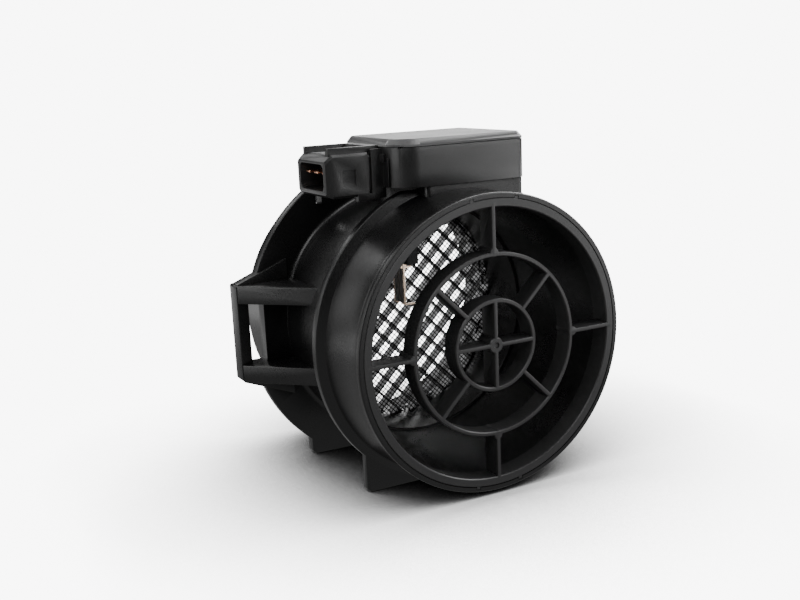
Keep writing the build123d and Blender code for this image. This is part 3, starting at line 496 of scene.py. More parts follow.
def brushed_group():
    """Fine streaks on drawn or rolled metal: a tone, a roughness and a height."""
    group = new_group(
        "Drawn metal",
        [("Streak size", 900.0), ("Low roughness", 0.2), ("High roughness", 0.4)],
        [
            ("Tone", "NodeSocketFloat"), ("Roughness", "NodeSocketFloat"),
            ("Height", "NodeSocketFloat"),
        ],
    )
    ends = {node.bl_idname: node for node in group.nodes}
    given, result = ends["NodeGroupInput"].outputs, ends["NodeGroupOutput"].inputs
    put = link_chain(group)
    place = put("ShaderNodeTexCoord").outputs["Object"]
    streak = put(
        "ShaderNodeTexNoise", [(place, "Vector"), (given["Streak size"], "Scale")],
        in_Detail=4.0, in_Distortion=0.6,
    )
    rough = put(
        "ShaderNodeMapRange",
        [
            (streak.outputs["Fac"], "Value"), (given["Low roughness"], "To Min"),
            (given["High roughness"], "To Max"),
        ],
        in_From_Min=0.35, in_From_Max=0.65,
    )
    tone = put(
        "ShaderNodeMapRange", [(streak.outputs["Fac"], "Value")], in_From_Min=0.3, in_From_Max=0.7
    )
    group.links.new(tone.outputs[0], result["Tone"])
    group.links.new(rough.outputs[0], result["Roughness"])
    group.links.new(streak.outputs["Fac"], result["Height"])
    return group


# ---------------------------------------------------------------- materials
GROUPS = {}
MATERIALS = {}


def group_of(name):
    """A shared group, built the first time it is asked for."""
    makers = {"grain": moulded_grain_group, "dust": dust_group, "drawn": brushed_group}
    if name not in GROUPS:
        GROUPS[name] = makers[name]()
    return GROUPS[name]


def blank_material(name):
    material = bpy.data.materials.new(name)
    material.use_nodes = True
    shader = material.node_tree.nodes["Principled BSDF"]
    return material, shader, link_chain(material.node_tree)


def rgb(value, gain=1.0):
    return (value[0] * gain, value[1] * gain, value[2] * gain, 1.0)


def moulded_plastic(name, base, low, high, bump=0.25, grain=2400.0, dust=0.5, dust_gain=6.0):
    """Moulded plastic with a fine grain and a trace of dust, its roughness from low to high."""
    material, shader, put = blank_material(name)
    links = material.node_tree.links
    surface = put("ShaderNodeGroup", node_tree=group_of("grain"))
    for label, value in (("Grain size", grain), ("Low roughness", low), ("High roughness", high)):
        surface.inputs[label].default_value = value
    specks = put("ShaderNodeGroup", node_tree=group_of("dust"))
    specks.inputs["Amount"].default_value = dust
    mix = put("ShaderNodeMix", data_type="RGBA")
    mix.inputs["A"].default_value = rgb(base)
    mix.inputs["B"].default_value = rgb(base, dust_gain)
    links.new(specks.outputs["Mask"], mix.inputs["Factor"])
    links.new(mix.outputs["Result"], shader.inputs["Base Color"])
    links.new(surface.outputs["Roughness"], shader.inputs["Roughness"])
    relief = put(
        "ShaderNodeBump", [(surface.outputs["Height"], "Height")],
        in_Strength=bump, in_Distance=GRAIN_RELIEF,
    )
    links.new(relief.outputs["Normal"], shader.inputs["Normal"])
    shader.inputs["Specular IOR Level"].default_value = 0.5
    return material


def drawn_metal(name, base, low, high, streak=900.0, shade=0.6, bump=0.1):
    """Metal with fine streaks in tone and roughness."""
    material, shader, put = blank_material(name)
    links = material.node_tree.links
    surface = put("ShaderNodeGroup", node_tree=group_of("drawn"))
    for label, value in (("Streak size", streak), ("Low roughness", low), ("High roughness", high)):
        surface.inputs[label].default_value = value
    mix = put("ShaderNodeMix", data_type="RGBA")
    mix.inputs["A"].default_value = rgb(base, shade)
    mix.inputs["B"].default_value = rgb(base)
    links.new(surface.outputs["Tone"], mix.inputs["Factor"])
    links.new(mix.outputs["Result"], shader.inputs["Base Color"])
    links.new(surface.outputs["Roughness"], shader.inputs["Roughness"])
    relief = put(
        "ShaderNodeBump", [(surface.outputs["Height"], "Height")],
        in_Strength=bump, in_Distance=STREAK_RELIEF,
    )
    links.new(relief.outputs["Normal"], shader.inputs["Normal"])
    shader.inputs["Metallic"].default_value = 1.0
    return material


def banded_film(name):
    """Ceramic film with printed conductor bands that run its whole height."""
    material, shader, put = blank_material(name)
    links = material.node_tree.links
    place = put("ShaderNodeTexCoord").outputs["Object"]
    bands = put(
        "ShaderNodeTexWave", [(place, "Vector")],
        in_Scale=260.0, in_Distortion=0.4, in_Detail=1.0,
    )
    bands.bands_direction = "Y"
    ramp = put("ShaderNodeValToRGB", [(bands.outputs["Fac"], "Fac")])
    ramp.color_ramp.elements[0].color = (0.16, 0.125, 0.085, 1)
    ramp.color_ramp.elements[1].color = (0.62, 0.58, 0.52, 1)
    links.new(ramp.outputs["Color"], shader.inputs["Base Color"])
    shader.inputs["Roughness"].default_value = 0.4
    return material


def material_of(name):
    """A finish, built the first time it is asked for."""
    if name in MATERIALS:
        return MATERIALS[name]
    tones = bpy.context.scene.airflow_finishes
    makers = {
        "tube": lambda: moulded_plastic("Tube plastic", tones.plastic, 0.25, 0.38, dust=0.12),
        "case": lambda: moulded_plastic(
            "Electronics housing plastic", tones.case, 0.3, 0.42, 0.3, 2800.0
        ),
        "grille": lambda: moulded_plastic(
            "Grille plastic", tones.grille, 0.34, 0.46, 0.12, 2000.0, 0.2, 3.0
        ),
        "lid": lambda: moulded_plastic("Lid plastic", tones.lid, 0.34, 0.46, 0.3, 3000.0, 0.4, 2.5),
        "stem": lambda: moulded_plastic("Stem plastic", (0.05, 0.05, 0.052), 0.4, 0.5),
        "rubber": lambda: moulded_plastic("Seal rubber", (0.012, 0.012, 0.012), 0.6, 0.75, 0.2),
        "wire": lambda: drawn_metal("Screen wire", tones.wire, 0.25, 0.45),
        "strip": lambda: drawn_metal("Grid strip", tones.strip, 0.15, 0.35),
        "spring": lambda: drawn_metal("Spring steel", (0.3, 0.3, 0.31), 0.3, 0.5),
        "prong": lambda: drawn_metal("Gilt prong", tones.prong, 0.12, 0.28, 1500.0, 0.75),
        "copper": lambda: drawn_metal("Copper terminal", tones.copper, 0.15, 0.3, 1500.0, 0.7),
        "film": lambda: banded_film("Printed film"),
        "board": lambda: moulded_plastic("Board laminate", (0.02, 0.09, 0.035), 0.3, 0.45, 0.1),
        "chip": lambda: moulded_plastic("Chip resin", (0.02, 0.02, 0.021), 0.5, 0.65, 0.2),
        "capacitor": lambda: moulded_plastic(
            "Capacitor ceramic", (0.35, 0.24, 0.14), 0.4, 0.5, 0.1
        ),
    }
    MATERIALS[name] = makers[name]()
    return MATERIALS[name]


# ---------------------------------------------------------------- flow tube
# Stations along the tube from the outlet face, and heights and radii, in millimetres
SEAT_START, WAIST, SEAT_END = 3.2, 9.0, 22.4     # clamp seat: front, narrowest part, back
SEAT_STEPS = 12
STOP_FLANGE = (23.6, 26.6)                       # faces of the hose stop flange
BOX_FLANGE = (66.0, 70.0)                        # faces of the air-box flange
NECK_FILLET = 2.0                                # where the neck meets both flanges
THROAT_START, THROAT_END = 48.0, 67.3            # parallel bore round the films
SCREEN_SEAT, SCREEN_SEAT_BACK = 43.2, 81.0       # bore of screen and grid: radius, back
PLATE_SEAT, SLEEVE_SEAT = 46.12, 45.02           # bores that take the grille
PLATE_DEPTH = 1.8                                # depth of the grille's plate in its seat
FRONT_FOOT_HALF, REAR_FOOT_HALF = 35.8, 36.8     # half widths over the feet
LOOP_FACE = 64.9                                 # front face of the clip loops
LOOP_BAR_BACK = 71.5                             # back of a loop's outer bar
LOOP_BAR_INNER = 57.4                            # window side of the outer bar
WINDOW_INNER = 52.0                              # neck side of the clip window
TOWER_LOW, TOWER_HIGH = (-12.6, 18.4, 33.4), (23.8, 60.0, 49.3)
STEM_AXIS = (-5.0, 47.6)                         # X and Y of the stem's bore
STEM_BOSS_RADIUS, STEM_BORE_RADIUS = 9.1, 7.3
KEY_ANGLES = (79.5, 99.5, 260.0, 280.0)          # grille keys, in degrees from +X
SEAL_GROOVE = [(45.55, 88.4), (47.65, 88.4), (47.65, 92.0), (45.55, 92.0)]


def tube_outline(tube):
    """Outside of the tube, from the outlet rim to the inlet face."""
    rim, neck = tube.rim_radius / MM, tube.neck_radius / MM
    stop, flange = tube.stop_flange_radius / MM, tube.box_flange_radius / MM
    collar, end = tube.collar_radius / MM, tube.tube_length / MM
    waist, seat_end = tube.waist_radius / MM, tube.seat_end_radius / MM
    outline = [(0, 0), (rim - 0.5, 0)] + arc((rim - 0.45, 0.45), 0.45, -90, 0, 4)
    outline += arc((rim - 0.15, 2.15), 0.15, 0, 90, 2) + [(rim - 0.9, 2.3), (rim - 0.9, 3.0)]
    outline += arc((rim - 0.8, 3.2), 0.2, -90, 0, 2)
    for step in range(1, SEAT_STEPS + 1):
        station = SEAT_START + step / SEAT_STEPS * (SEAT_END - SEAT_START)
        early = ((station - WAIST) / (WAIST - SEAT_START)) ** 2 * (rim - 0.6 - waist)
        late = ((station - WAIST) / (SEAT_END - WAIST)) ** 2 * (seat_end - waist)
        outline.append((waist + (early if station < WAIST else late), station))
    front, back = STOP_FLANGE
    outline += [(stop - 0.7, front - 0.15)] + arc((stop - 0.35, front + 0.35), 0.35, -70, 0, 3)
    outline += arc((stop - 0.3, back - 0.3), 0.3, 0, 90, 3)
    outline += arc((neck + NECK_FILLET, back + NECK_FILLET), NECK_FILLET, 270, 180, 7)
    front, back = BOX_FLANGE
    outline += arc((neck + NECK_FILLET, front - NECK_FILLET), NECK_FILLET, 180, 90, 7)
    outline += arc((flange - 0.4, front + 0.4), 0.4, -90, 0, 3)
    outline += arc((flange - 0.4, back - 0.4), 0.4, 0, 90, 3)
    outline += arc((collar + 0.6, back + 0.6), 0.6, 270, 180, 3)
    outline += arc((collar - 0.5, end - 0.5), 0.5, 0, 90, 3)
    return outline + [(0, end)]


def bore_outline(tube):
    """Flow path with the seats of the grille, the screen and the grid."""
    end, throat = tube.tube_length / MM, tube.throat_radius / MM
    return [
        (0, -1), (46.3, -1), (PLATE_SEAT, 0.15), (PLATE_SEAT, PLATE_DEPTH),
        (SLEEVE_SEAT, PLATE_DEPTH), (SLEEVE_SEAT, 7.0), (43.5, 7.0), (41.3, THROAT_START),
        (throat + 0.15, THROAT_START), (throat, THROAT_START + 0.15), (throat, THROAT_END),
        (SCREEN_SEAT, THROAT_END), (SCREEN_SEAT, SCREEN_SEAT_BACK),
        (44.2, end - 0.4), (44.6, end), (44.6, end + 1), (0, end + 1),
    ]


def foot_plate(name, half_width, front, back, drop):
    """Square-cornered plate that carries a flange down to the floor."""
    plate = block(name, (-half_width, front, -drop), (half_width, back, -20))
    floor = -drop * MM + 1e-5
    round_edges(plate, 1.2, 1, lambda a, b: along("Y")(a, b) and a.z < floor)
    return soften(plate, 0.3)


def loop_side(tube):
    """Left clip loop with its sloping plate, outer bar and two bracing arms."""
    reach, half, drop = tube.loop_reach / MM, tube.loop_half_height / MM, tube.loop_drop / MM
    window, neck = tube.window_half_height / MM, tube.neck_radius / MM
    root = half + (reach - neck) * tan(radians(22.5))
    plate_corners = [
        (-neck + 1, -root), (-reach + 0.8, -half - 0.33), (-reach, -half + 0.8),
        (-reach, half - 0.8), (-reach + 0.8, half + 0.33), (-neck + 1, root),
    ]
    depth = BOX_FLANGE[1] - LOOP_FACE
    plate = prism("loop_plate", [(x, LOOP_FACE, z - drop) for x, z in plate_corners], (0, depth, 0))
    soften(plate)
    bar_high = (-LOOP_BAR_INNER, LOOP_BAR_BACK, half - drop)
    bar = block("loop_bar", (-reach, LOOP_FACE, -half - drop), bar_high)
    round_edges(bar, 0.8, 3, lambda a, b: along("Y")(a, b) and a.x < -60 * MM)
    soften(bar)
    inner = sqrt(neck ** 2 - half ** 2) - 1.0
    plan = [
        (-reach + 0.4, LOOP_FACE), (-reach + 0.2, 64.3), (-inner, 65.1 - (reach - inner)),
        (-inner, 66.5), (-reach + 0.4, 66.5),
    ]
    for low, high in ((window, half), (-half, -window)):
        arm = prism("loop_arm", [(x, y, low - drop) for x, y in plan], (0, 0, high - low))
        add(plate, soften(arm))
    return add(plate, bar)


def tower_block():
    """Raised platform under the case, with the round moulding of the stem's bore."""
    tower = block("tower", TOWER_LOW, TOWER_HIGH)
    round_edges(tower, 1.5, 6, along("Z"))
    soften(tower, 0.2)
    boss = rod("stem_boss", STEM_BOSS_RADIUS, STEM_AXIS, "Z", 36.0, TOWER_HIGH[2])
    return add(tower, boss)


def tube_moulding():
    """Flow tube, flanges, feet, clip loops and tower in one moulding."""
    tube = bpy.context.scene.airflow_tube
    steps = bpy.context.scene.airflow_finishes.turns
    drop, loop_drop = tube.foot_drop / MM, tube.loop_drop / MM
    half = tube.window_half_height / MM
    body = turned("tube_moulding", tube_outline(tube), steps)
    cut(body, block("top_flat", (-60, 22.5, tube.stop_flange_top / MM), (60, 26.7, 60)))
    add(body, foot_plate("front_foot", FRONT_FOOT_HALF, *STOP_FLANGE, drop))
    add(body, foot_plate("rear_foot", REAR_FOOT_HALF, *BOX_FLANGE, drop))
    left = loop_side(tube)
    right = mirrored(left, "right_loop")
    add(body, left, right, tower_block())
    for side in (-1, 1):
        low, high = sorted((side * WINDOW_INNER, side * LOOP_BAR_INNER))
        window = block("window", (low, 63.0, -half - loop_drop), (high, 75.0, half - loop_drop))
        cut(body, round_edges(window, 0.5, 2, along("Y")))
    cut(body, block("floor_cut", (-60, -2, -60), (60, 92, -drop)))
    cut(body, turned("bore", bore_outline(tube), steps))
    cut(body, turned("seal_groove", SEAL_GROOVE, steps))
    for angle in KEY_ANGLES:
        cut(body, block("notch", (45.8, -1, -0.8), (46.85, PLATE_DEPTH, 0.8), radians(angle)))
    cut(body, rod("stem_bore", STEM_BORE_RADIUS, STEM_AXIS, "Z", 36.0, 51.0))
    cut(body, block("slot", (-29.85, 65.0, 41.2), (-27.65, 71.0, 45.8)))
    return body


# ---------------------------------------------------------------- grille
RIB_EDGE = 0.28             # rounding of ring and spoke edges, in millimetres
SLEEVE_INNER = 43.3         # inside of the snap sleeve
SPOKE_ROOT, SPOKE_TIP = 2.2, 43.6
PAD_RADIUS = 1.5            # round pads where the spokes leave the middle ring


def ring_outline(radius, width, depth):
    """Section of a grille ring with rounded front and back edges."""
    half, soft = width / 2, RIB_EDGE
    return [
        (radius - half, soft), (radius - half + soft, 0),
        (radius + half - soft, 0), (radius + half, soft),
        (radius + half, depth - soft), (radius + half - soft, depth),
        (radius - half + soft, depth), (radius - half, depth - soft),
    ]


def grille_spoke(turn, start, end, width, depth):
    """Spoke between two radii with its long edges rounded."""
    spoke = block("spoke", (start, 0, -width / 2), (end, depth, width / 2))
    round_edges(spoke, RIB_EDGE, 2, along("X"))
    take(spoke).rotation_euler = (0, -turn, 0)
    return settle("spoke")


def grille_moulding():
    """Rings, spokes, hub and snap sleeve."""
    grille = bpy.context.scene.airflow_grille
    steps = bpy.context.scene.airflow_finishes.turns
    inner, middle = grille.inner_ring / MM, grille.middle_ring / MM
    rib, depth = grille.rib_width / MM, grille.depth / MM
    sleeve = [
        (SLEEVE_INNER, 0.3), (43.6, 0), (45.75, 0), (46.0, 0.25), (46.0, PLATE_DEPTH),
        (44.9, PLATE_DEPTH), (44.9, depth), (SLEEVE_INNER, depth),
    ]
    body = turned("grille_moulding", sleeve, steps)
    for radius in (middle, inner):
        add(body, turned("grille_ring", ring_outline(radius, rib, depth), steps))
    hub = [(0, 0.6), (0.8, 0.5), (1.0, 0), (2.2, 0), (2.5, 0.3), (2.5, depth), (0, depth)]
    add(body, turned("hub", hub, 48))
    for quarter in range(4):
        turn = quarter * pi / 2
        add(body, grille_spoke(turn, SPOKE_ROOT, inner, rib, depth))
        add(body, grille_spoke(turn + pi / 4, inner, middle, rib, depth))
        add(body, grille_spoke(turn, middle, SPOKE_TIP, rib, depth))
        radius = middle + rib / 2
        centre = (radius * cos(turn), radius * sin(turn))
        add(body, soften(rod("pad", PAD_RADIUS, centre, "Y", 0.02, depth, 32)))
    for angle in KEY_ANGLES:
        add(body, block("key", (45.8, 0.1, -0.6), (46.7, 1.7, 0.6), radians(angle)))
    return body


# ---------------------------------------------------------------- screen and grid
WIRE_FULLNESS = 1.15        # square section's radius over a round wire's
CROSSING_SHARE = 0.3        # part of the pitch in which a wire lies flat over another
RIM_OUTER, RIM_INNER = 43.0, 41.3
FRAME_INNER = 41.5          # inside of the grid's frame
STRIP_REACH = 41.8          # the strips run a little way into the frame
STRIP_CLEARANCE = 0.02
ROUND_STEPS = 96            # steps round the screen's rim and the grid's frame


def wave_wire(name, cells, pitch, wire, phase):
    """One woven wire: a square tube that rises and dips at every crossing."""
    clear_selection()
    bpy.ops.mesh.primitive_circle_add(
        vertices=4, radius=wire / 2 * WIRE_FULLNESS, rotation=(0, pi / 2, 0)
    )
    settle(name)
    bpy.ops.object.mode_set(mode="EDIT")
    bpy.ops.mesh.select_all(action="SELECT")
    lift = wire / 2 * phase
    bpy.ops.transform.translate(value=(0, 0, lift))
    flat, slope = pitch * CROSSING_SHARE, pitch * (1 - CROSSING_SHARE)
    for run, rise in ((flat, 0), (slope, -2 * lift), (flat, 0), (slope, 2 * lift)):
        bpy.ops.mesh.extrude_region_move(TRANSFORM_OT_translate={"value": (run, 0, rise)})
    bpy.ops.object.mode_set(mode="OBJECT")
    wire_obj = bpy.context.object
    bpy.ops.object.modifier_add(type="ARRAY")
    row = wire_obj.modifiers[-1]
    row.count = cells
    row.use_relative_offset = False
    row.use_constant_offset = True
    row.constant_offset_displace = (2 * pitch, 0, 0)
    row.use_merge_vertices = True
    row.merge_threshold = 1e-6
    bpy.ops.object.modifier_apply(modifier=row.name)
    return wire_obj


def screen_weave():
    """Plain weave across the tube, its wires running at 45 degrees both ways."""
    screen = bpy.context.scene.airflow_screen
    low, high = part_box("wire_screen")
    middle_y = (low.y + high.y) / 2
    pitch, wire, radius = screen.pitch, screen.wire, screen.radius
    count = int(radius / pitch)
    wires = []
    for heading in (0, 1):
        for step in range(-count, count + 1):
            offset = step * pitch
            reach = sqrt(max(radius ** 2 - offset ** 2, 0))
            cells = max(2 * int(reach / (2 * pitch) + 0.5), 2)
            phase = 1 if (step + heading) % 2 == 0 else -1
            line = wave_wire("wire", cells, pitch, wire, phase)
            take(line)
            line.location = (-cells * pitch - CROSSING_SHARE / 2 * pitch, offset, 0)
            settle("wire")
            if heading:
                line.rotation_euler = (0, 0, pi / 2)
                settle("wire")
            wires.append(line)
    clear_selection()
    for line in wires:
        line.select_set(True)
    bpy.context.view_layer.objects.active = wires[0]
    bpy.ops.object.join()
    weave = bpy.context.object
    weave.rotation_euler = (0, 0, pi / 4)
    settle("screen_weave")
    weave.rotation_euler = (pi / 2, 0, 0)
    weave.location = (0, middle_y, 0)
    settle("screen_weave")
    bpy.ops.object.mode_set(mode="EDIT")
    bpy.ops.mesh.select_all(action="SELECT")
    bpy.ops.mesh.fill_holes(sides=4)
    bpy.ops.mesh.select_all(action="SELECT")
    bpy.ops.mesh.normals_make_consistent(inside=False)
    bpy.ops.object.mode_set(mode="OBJECT")
    return weave


def screen_rim():
    """Pressed rim that clamps the ends of the wires."""
    low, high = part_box("wire_screen")
    front, back = low.y / MM, high.y / MM
    outline = [
        (RIM_INNER, front + 0.1), (RIM_INNER + 0.1, front), (RIM_OUTER, front),
        (RIM_OUTER, back), (RIM_INNER + 0.1, back), (RIM_INNER, back - 0.1),
    ]
    return turned("screen_rim", outline, ROUND_STEPS)


def grid_strips():
    """Slotted strips crossed both ways inside a round frame."""
    screen = bpy.context.scene.airflow_screen
    low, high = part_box("flow_grid")
    front, back = low.y / MM + STRIP_CLEARANCE, high.y / MM
    cell, half = screen.cell / MM, screen.strip / MM / 2
    frame_ring = [
        (FRAME_INNER, front), (RIM_OUTER, front), (RIM_OUTER, back), (FRAME_INNER, back),
    ]
    body = turned("grid_strips", frame_ring, ROUND_STEPS)
    count = int(STRIP_REACH // cell)
    pieces = []
    for heading in (pi / 4, -pi / 4):
        for step in range(-count, count + 1):
            offset = step * cell
            reach = sqrt(STRIP_REACH ** 2 - offset ** 2)
            nudge = STRIP_CLEARANCE if heading < 0 else 0.0
            near = (-reach, front + nudge, offset - half)
            far = (reach, back - nudge, offset + half)
            pieces.append(block("strip", near, far, heading))
    clear_selection()
    for piece in pieces + [body]:
        piece.select_set(True)
    bpy.context.view_layer.objects.active = body
    bpy.ops.object.join()
    return settle("grid_strips")


# ---------------------------------------------------------------- case
CASE_BOX = ((-22.7, 17.6, 49.3), (24.1, 57.2, 64.2))         # case and lid, no connector
CASE_CORNERS = ((-1, -1, 8.0), (-1, 1, 5.0), (1, -1, 2.5))   # side in X, side in Y, radius
CORNER_MARGIN = 0.2                                          # cutters stand this far outside
CORNER_SIDES = 96
LID_BEVEL_FOOT, LID_BEVEL_RUN = 62.5, 1.5                    # lowest height and run inwards
SEAL_INSET = 0.3                                             # lid seal behind the case's walls
CASE_EDGES = (0.3, 2, 25.0)                                  # rounding: width, steps, angle
SOCKET_LOW, SOCKET_HIGH = (-43.0, 30.4, 49.3), (-25.45, 48.4, 57.6)
SOCKET_CORNER = 2.0


def rounded_bar(name, low, high, radius, steps=6):
    """Block along X whose four long edges are rounded."""
    return round_edges(block(name, low, high), radius, steps, along("X"))


def round_corners(obj, inset=0.0):
    """Round three upright corners, and the lid's bevel, on a piece set in from the walls."""
    low, high = CASE_BOX
    for side_x, side_y, radius in CASE_CORNERS:
        x = high[0] if side_x > 0 else low[0]
        y = high[1] if side_y > 0 else low[1]
        centre = (x - side_x * radius, y - side_y * radius)
        near_x, far_x = sorted((centre[0], x + side_x * CORNER_MARGIN))
        near_y, far_y = sorted((centre[1], y + side_y * CORNER_MARGIN))
        corner = block("corner", (near_x, near_y, low[2] - 1), (far_x, far_y, high[2] + 1))
        foot, core = LID_BEVEL_FOOT, radius - inset
        cut(corner, rod("corner_core", core, centre, "Z", low[2] - 2, foot, CORNER_SIDES))
        clear_selection()
        bpy.ops.mesh.primitive_cone_add(
            vertices=CORNER_SIDES, radius1=core * MM, radius2=(radius - LID_BEVEL_RUN) * MM,
            depth=(high[2] - foot + 2e-3) * MM, location=mm(*centre, (high[2] + foot) / 2),
        )
        cut(corner, settle("corner_cone"))
        cut(obj, corner)
    return obj


def lid_moulding():
    """Lid with rounded corners and a sloping border."""
    lid = merged_copy("case_lid", "lid_moulding")
    cut(lid, block("lip_corner", (-21.0, 19.3, 59.0), (-19.0, 21.3, 61.9)))
    return soften(round_corners(lid), *CASE_EDGES)


def case_moulding():
    """Case with its connector, its corners and the socket's inner corners well rounded."""
    case = merged_copy("electronics_case", "case_moulding")
    add(case, block("corner_wall", (-21.2, 19.1, 49.5), (-18.7, 21.6, 61.5)))
    round_corners(case)
    add(case, block("socket_corners", (-42.05, 30.0, 49.0), (-25.5, 48.8, 57.9)))
    cut(case, rounded_bar("socket", SOCKET_LOW, SOCKET_HIGH, SOCKET_CORNER))
    return soften(case, *CASE_EDGES)


def seal_bead():
    """Rubber bead between case and lid, its corners rounded with theirs."""
    return round_corners(merged_copy("lid_seal", "lid_bead"), SEAL_INSET)


# ---------------------------------------------------------------- stage
STAGE_CENTRE = Vector((0, 0.04, 0.01))
SOFTBOX_DISTANCE = 1.3
CARD_DISTANCE = 0.55
CARD_SIZE = (0.6, 0.4)
# Soft boxes: heading from +X and height in degrees, size in metres, brightness
SOFTBOXES = (
    (330, 28, (0.45, 0.35), 21.5),
    (45, 40, (0.80, 0.60), 10.0),
    (300, 28, (0.45, 0.35), 6.3),
    (104, 28, (0.35, 0.35), 1.8),
    (60, 14, (0.35, 0.30), 3.0),
    (0, 89, (0.90, 0.90), 4.0),
    (0, 40, (0.80, 0.60), 3.9),
    (330, 2, (0.45, 0.35), 3.9),
    (225, 40, (0.80, 0.60), 3.7),
    (180, 12, (0.80, 0.45), 3.6),
    (300, 2, (0.45, 0.35), 1.5),
    (135, 40, (0.80, 0.60), 1.5),
    (285, 28, (0.45, 0.35), 1.3),
    (315, 2, (0.45, 0.35), 1.2),
    (135, 12, (0.80, 0.45), 1.1),
    (90, 40, (0.80, 0.60), 1.1),
)
# Bounce cards flat on the floor: heading from +X in degrees, brightness
CARDS = (
    (0, 4.0),
    (315, 1.9),
    (60, 1.4),
    (180, 1.1),
    (120, 0.7),
)
CARD_LIFT = 0.0005                     # cards over the floor, in metres
FLOOR_SIZE = 6                         # metres
FLOOR_GAP = 0.0001                     # floor under the feet, in metres
FLOOR_PAINTED_SHADE_REACH = 0.09               # how far the painted shade spreads, in metres
FLOOR_PAINTED_SHADE_POWER = 4.0                # how dark the painted shade gets close to the feet
FLOOR_GLOW = 0.39                      # floor as the object's surfaces see it
SKY_GLOW = 0.02                        # sky as the object's surfaces see it
WHITE_LEVEL = 9.0                      # floor and sky as the camera sees them
CAMERA_AIM = Vector((-0.0332, 0, 0.0193))
CAMERA_TURN = (-27.51, 12.59, -2.56)   # azimuth, elevation and roll in degrees
CAMERA_DISTANCE = 0.2986
CAMERA_LENS = 45.95


def studio_light(name, place, size, brightness):
    """Soft rectangular light that the camera doesn't see."""
    clear_selection()
    bpy.ops.object.light_add(type="AREA", location=place)
    lamp = bpy.context.object
    lamp.name = name
    lamp.data.shape = "RECTANGLE"
    lamp.data.size, lamp.data.size_y = size
    lamp.data.energy = brightness * pi * size[0] * size[1]
    lamp.visible_camera = False
    return lamp


def softbox(heading, height, size, brightness):
    """Soft box aimed at the object from a heading and height in degrees."""
    turn, lift = radians(heading), radians(height)
    way = Vector((cos(turn) * cos(lift), sin(turn) * cos(lift), sin(lift)))
    lamp = studio_light("softbox", STAGE_CENTRE + way * SOFTBOX_DISTANCE, size, brightness)
    lamp.rotation_euler = (-way).to_track_quat("-Z", "Y").to_euler()


def bounce_card(heading, brightness):
    """Card that lies on the floor and shines upwards."""
    turn = radians(heading)
    place = STAGE_CENTRE + Vector((cos(turn), sin(turn), 0)) * CARD_DISTANCE
    place.z = -bpy.context.scene.airflow_tube.foot_drop + CARD_LIFT
    lamp = studio_light("bounce_card", place, CARD_SIZE, brightness)
    lamp.rotation_euler = (pi, 0, turn)


def camera_level(tree, put, seen, unseen):
    """Strength that is one value for the camera and another for everything else."""
    path = put("ShaderNodeLightPath")
    mix = put("ShaderNodeMix", [(path.outputs["Is Camera Ray"], "Factor")], data_type="FLOAT")
    mix.inputs["A"].default_value = unseen
    if isinstance(seen, float):
        mix.inputs["B"].default_value = seen
    else:
        tree.links.new(seen, mix.inputs["B"])
    return mix.outputs["Result"]


def studio_floor():
    """Pale floor that the part stands on and that glows on its own, with a shade close to the part
    painted from ambient occlusion.
    """
    clear_selection()
    drop = bpy.context.scene.airflow_tube.foot_drop
    bpy.ops.mesh.primitive_plane_add(size=FLOOR_SIZE, location=(0, 0, -drop - FLOOR_GAP))
    floor = settle("studio_floor")
    material, shader, put = blank_material("Studio floor")
    tree = material.node_tree
    # painted shade: ambient occlusion darkens the floor's own glow near the part, in place of a
    # shadow cast by the lamps
    shade = put("ShaderNodeAmbientOcclusion", samples=12)
    shade.inputs["Distance"].default_value = FLOOR_PAINTED_SHADE_REACH
    painted_shade = put("ShaderNodeMath", [(shade.outputs["AO"], 0)], operation="POWER")
    painted_shade.inputs[1].default_value = FLOOR_PAINTED_SHADE_POWER
    seen = put("ShaderNodeMath", [(painted_shade.outputs[0], 0)], operation="MULTIPLY")
    seen.inputs[1].default_value = WHITE_LEVEL
    shader.inputs["Base Color"].default_value = (0, 0, 0, 1)
    shader.inputs["Specular IOR Level"].default_value = 0.0
    shader.inputs["Emission Color"].default_value = rgb(bpy.context.scene.airflow_finishes.floor)
    level = camera_level(tree, put, seen.outputs[0], FLOOR_GLOW)
    tree.links.new(level, shader.inputs["Emission Strength"])
    floor.data.materials.append(material)


def studio_camera():
    """Camera at the low three-quarter angle, a little rolled."""
    azimuth, elevation, roll = (radians(angle) for angle in CAMERA_TURN)
    back = Vector((sin(azimuth) * cos(elevation), -cos(azimuth) * cos(elevation), sin(elevation)))
    level = (-back).cross(Vector((0, 0, 1))).normalized()
    rise = level.cross(-back)
    right = cos(roll) * level + sin(roll) * rise
    up = -sin(roll) * level + cos(roll) * rise
    clear_selection()
    bpy.ops.object.camera_add(location=CAMERA_AIM + back * CAMERA_DISTANCE)
    camera = bpy.context.object
    camera.rotation_euler = Matrix((right, up, back)).transposed().to_euler()
    camera.data.sensor_width = 36.0
    camera.data.lens = CAMERA_LENS
    camera.data.clip_start = 0.01
    bpy.context.scene.camera = camera


def studio_stage():
    """Floor, lights, sky and camera."""
    studio_floor()
    for light in SOFTBOXES:
        softbox(*light)
    for card in CARDS:
        bounce_card(*card)
    world = bpy.data.worlds.new("Studio sky")
    world.use_nodes = True
    tree = world.node_tree
    sky = tree.nodes["Background"]
    sky.inputs["Color"].default_value = rgb(bpy.context.scene.airflow_finishes.floor)
    level = camera_level(tree, link_chain(tree), WHITE_LEVEL, SKY_GLOW)
    tree.links.new(level, sky.inputs["Strength"])
    bpy.context.scene.world = world
    studio_camera()


# ---------------------------------------------------------------- operators
class AIRFLOW_OT_tube(bpy.types.Operator):
    """Build the flow tube's moulding with its flanges, feet, loops and tower"""

    bl_idname = "airflow.tube"
    bl_label = "Flow tube"
    bl_options = {"REGISTER", "UNDO"}

    def execute(self, context):
        finish_piece(tube_moulding(), ["housing"], material_of("tube"))
        return {"FINISHED"}


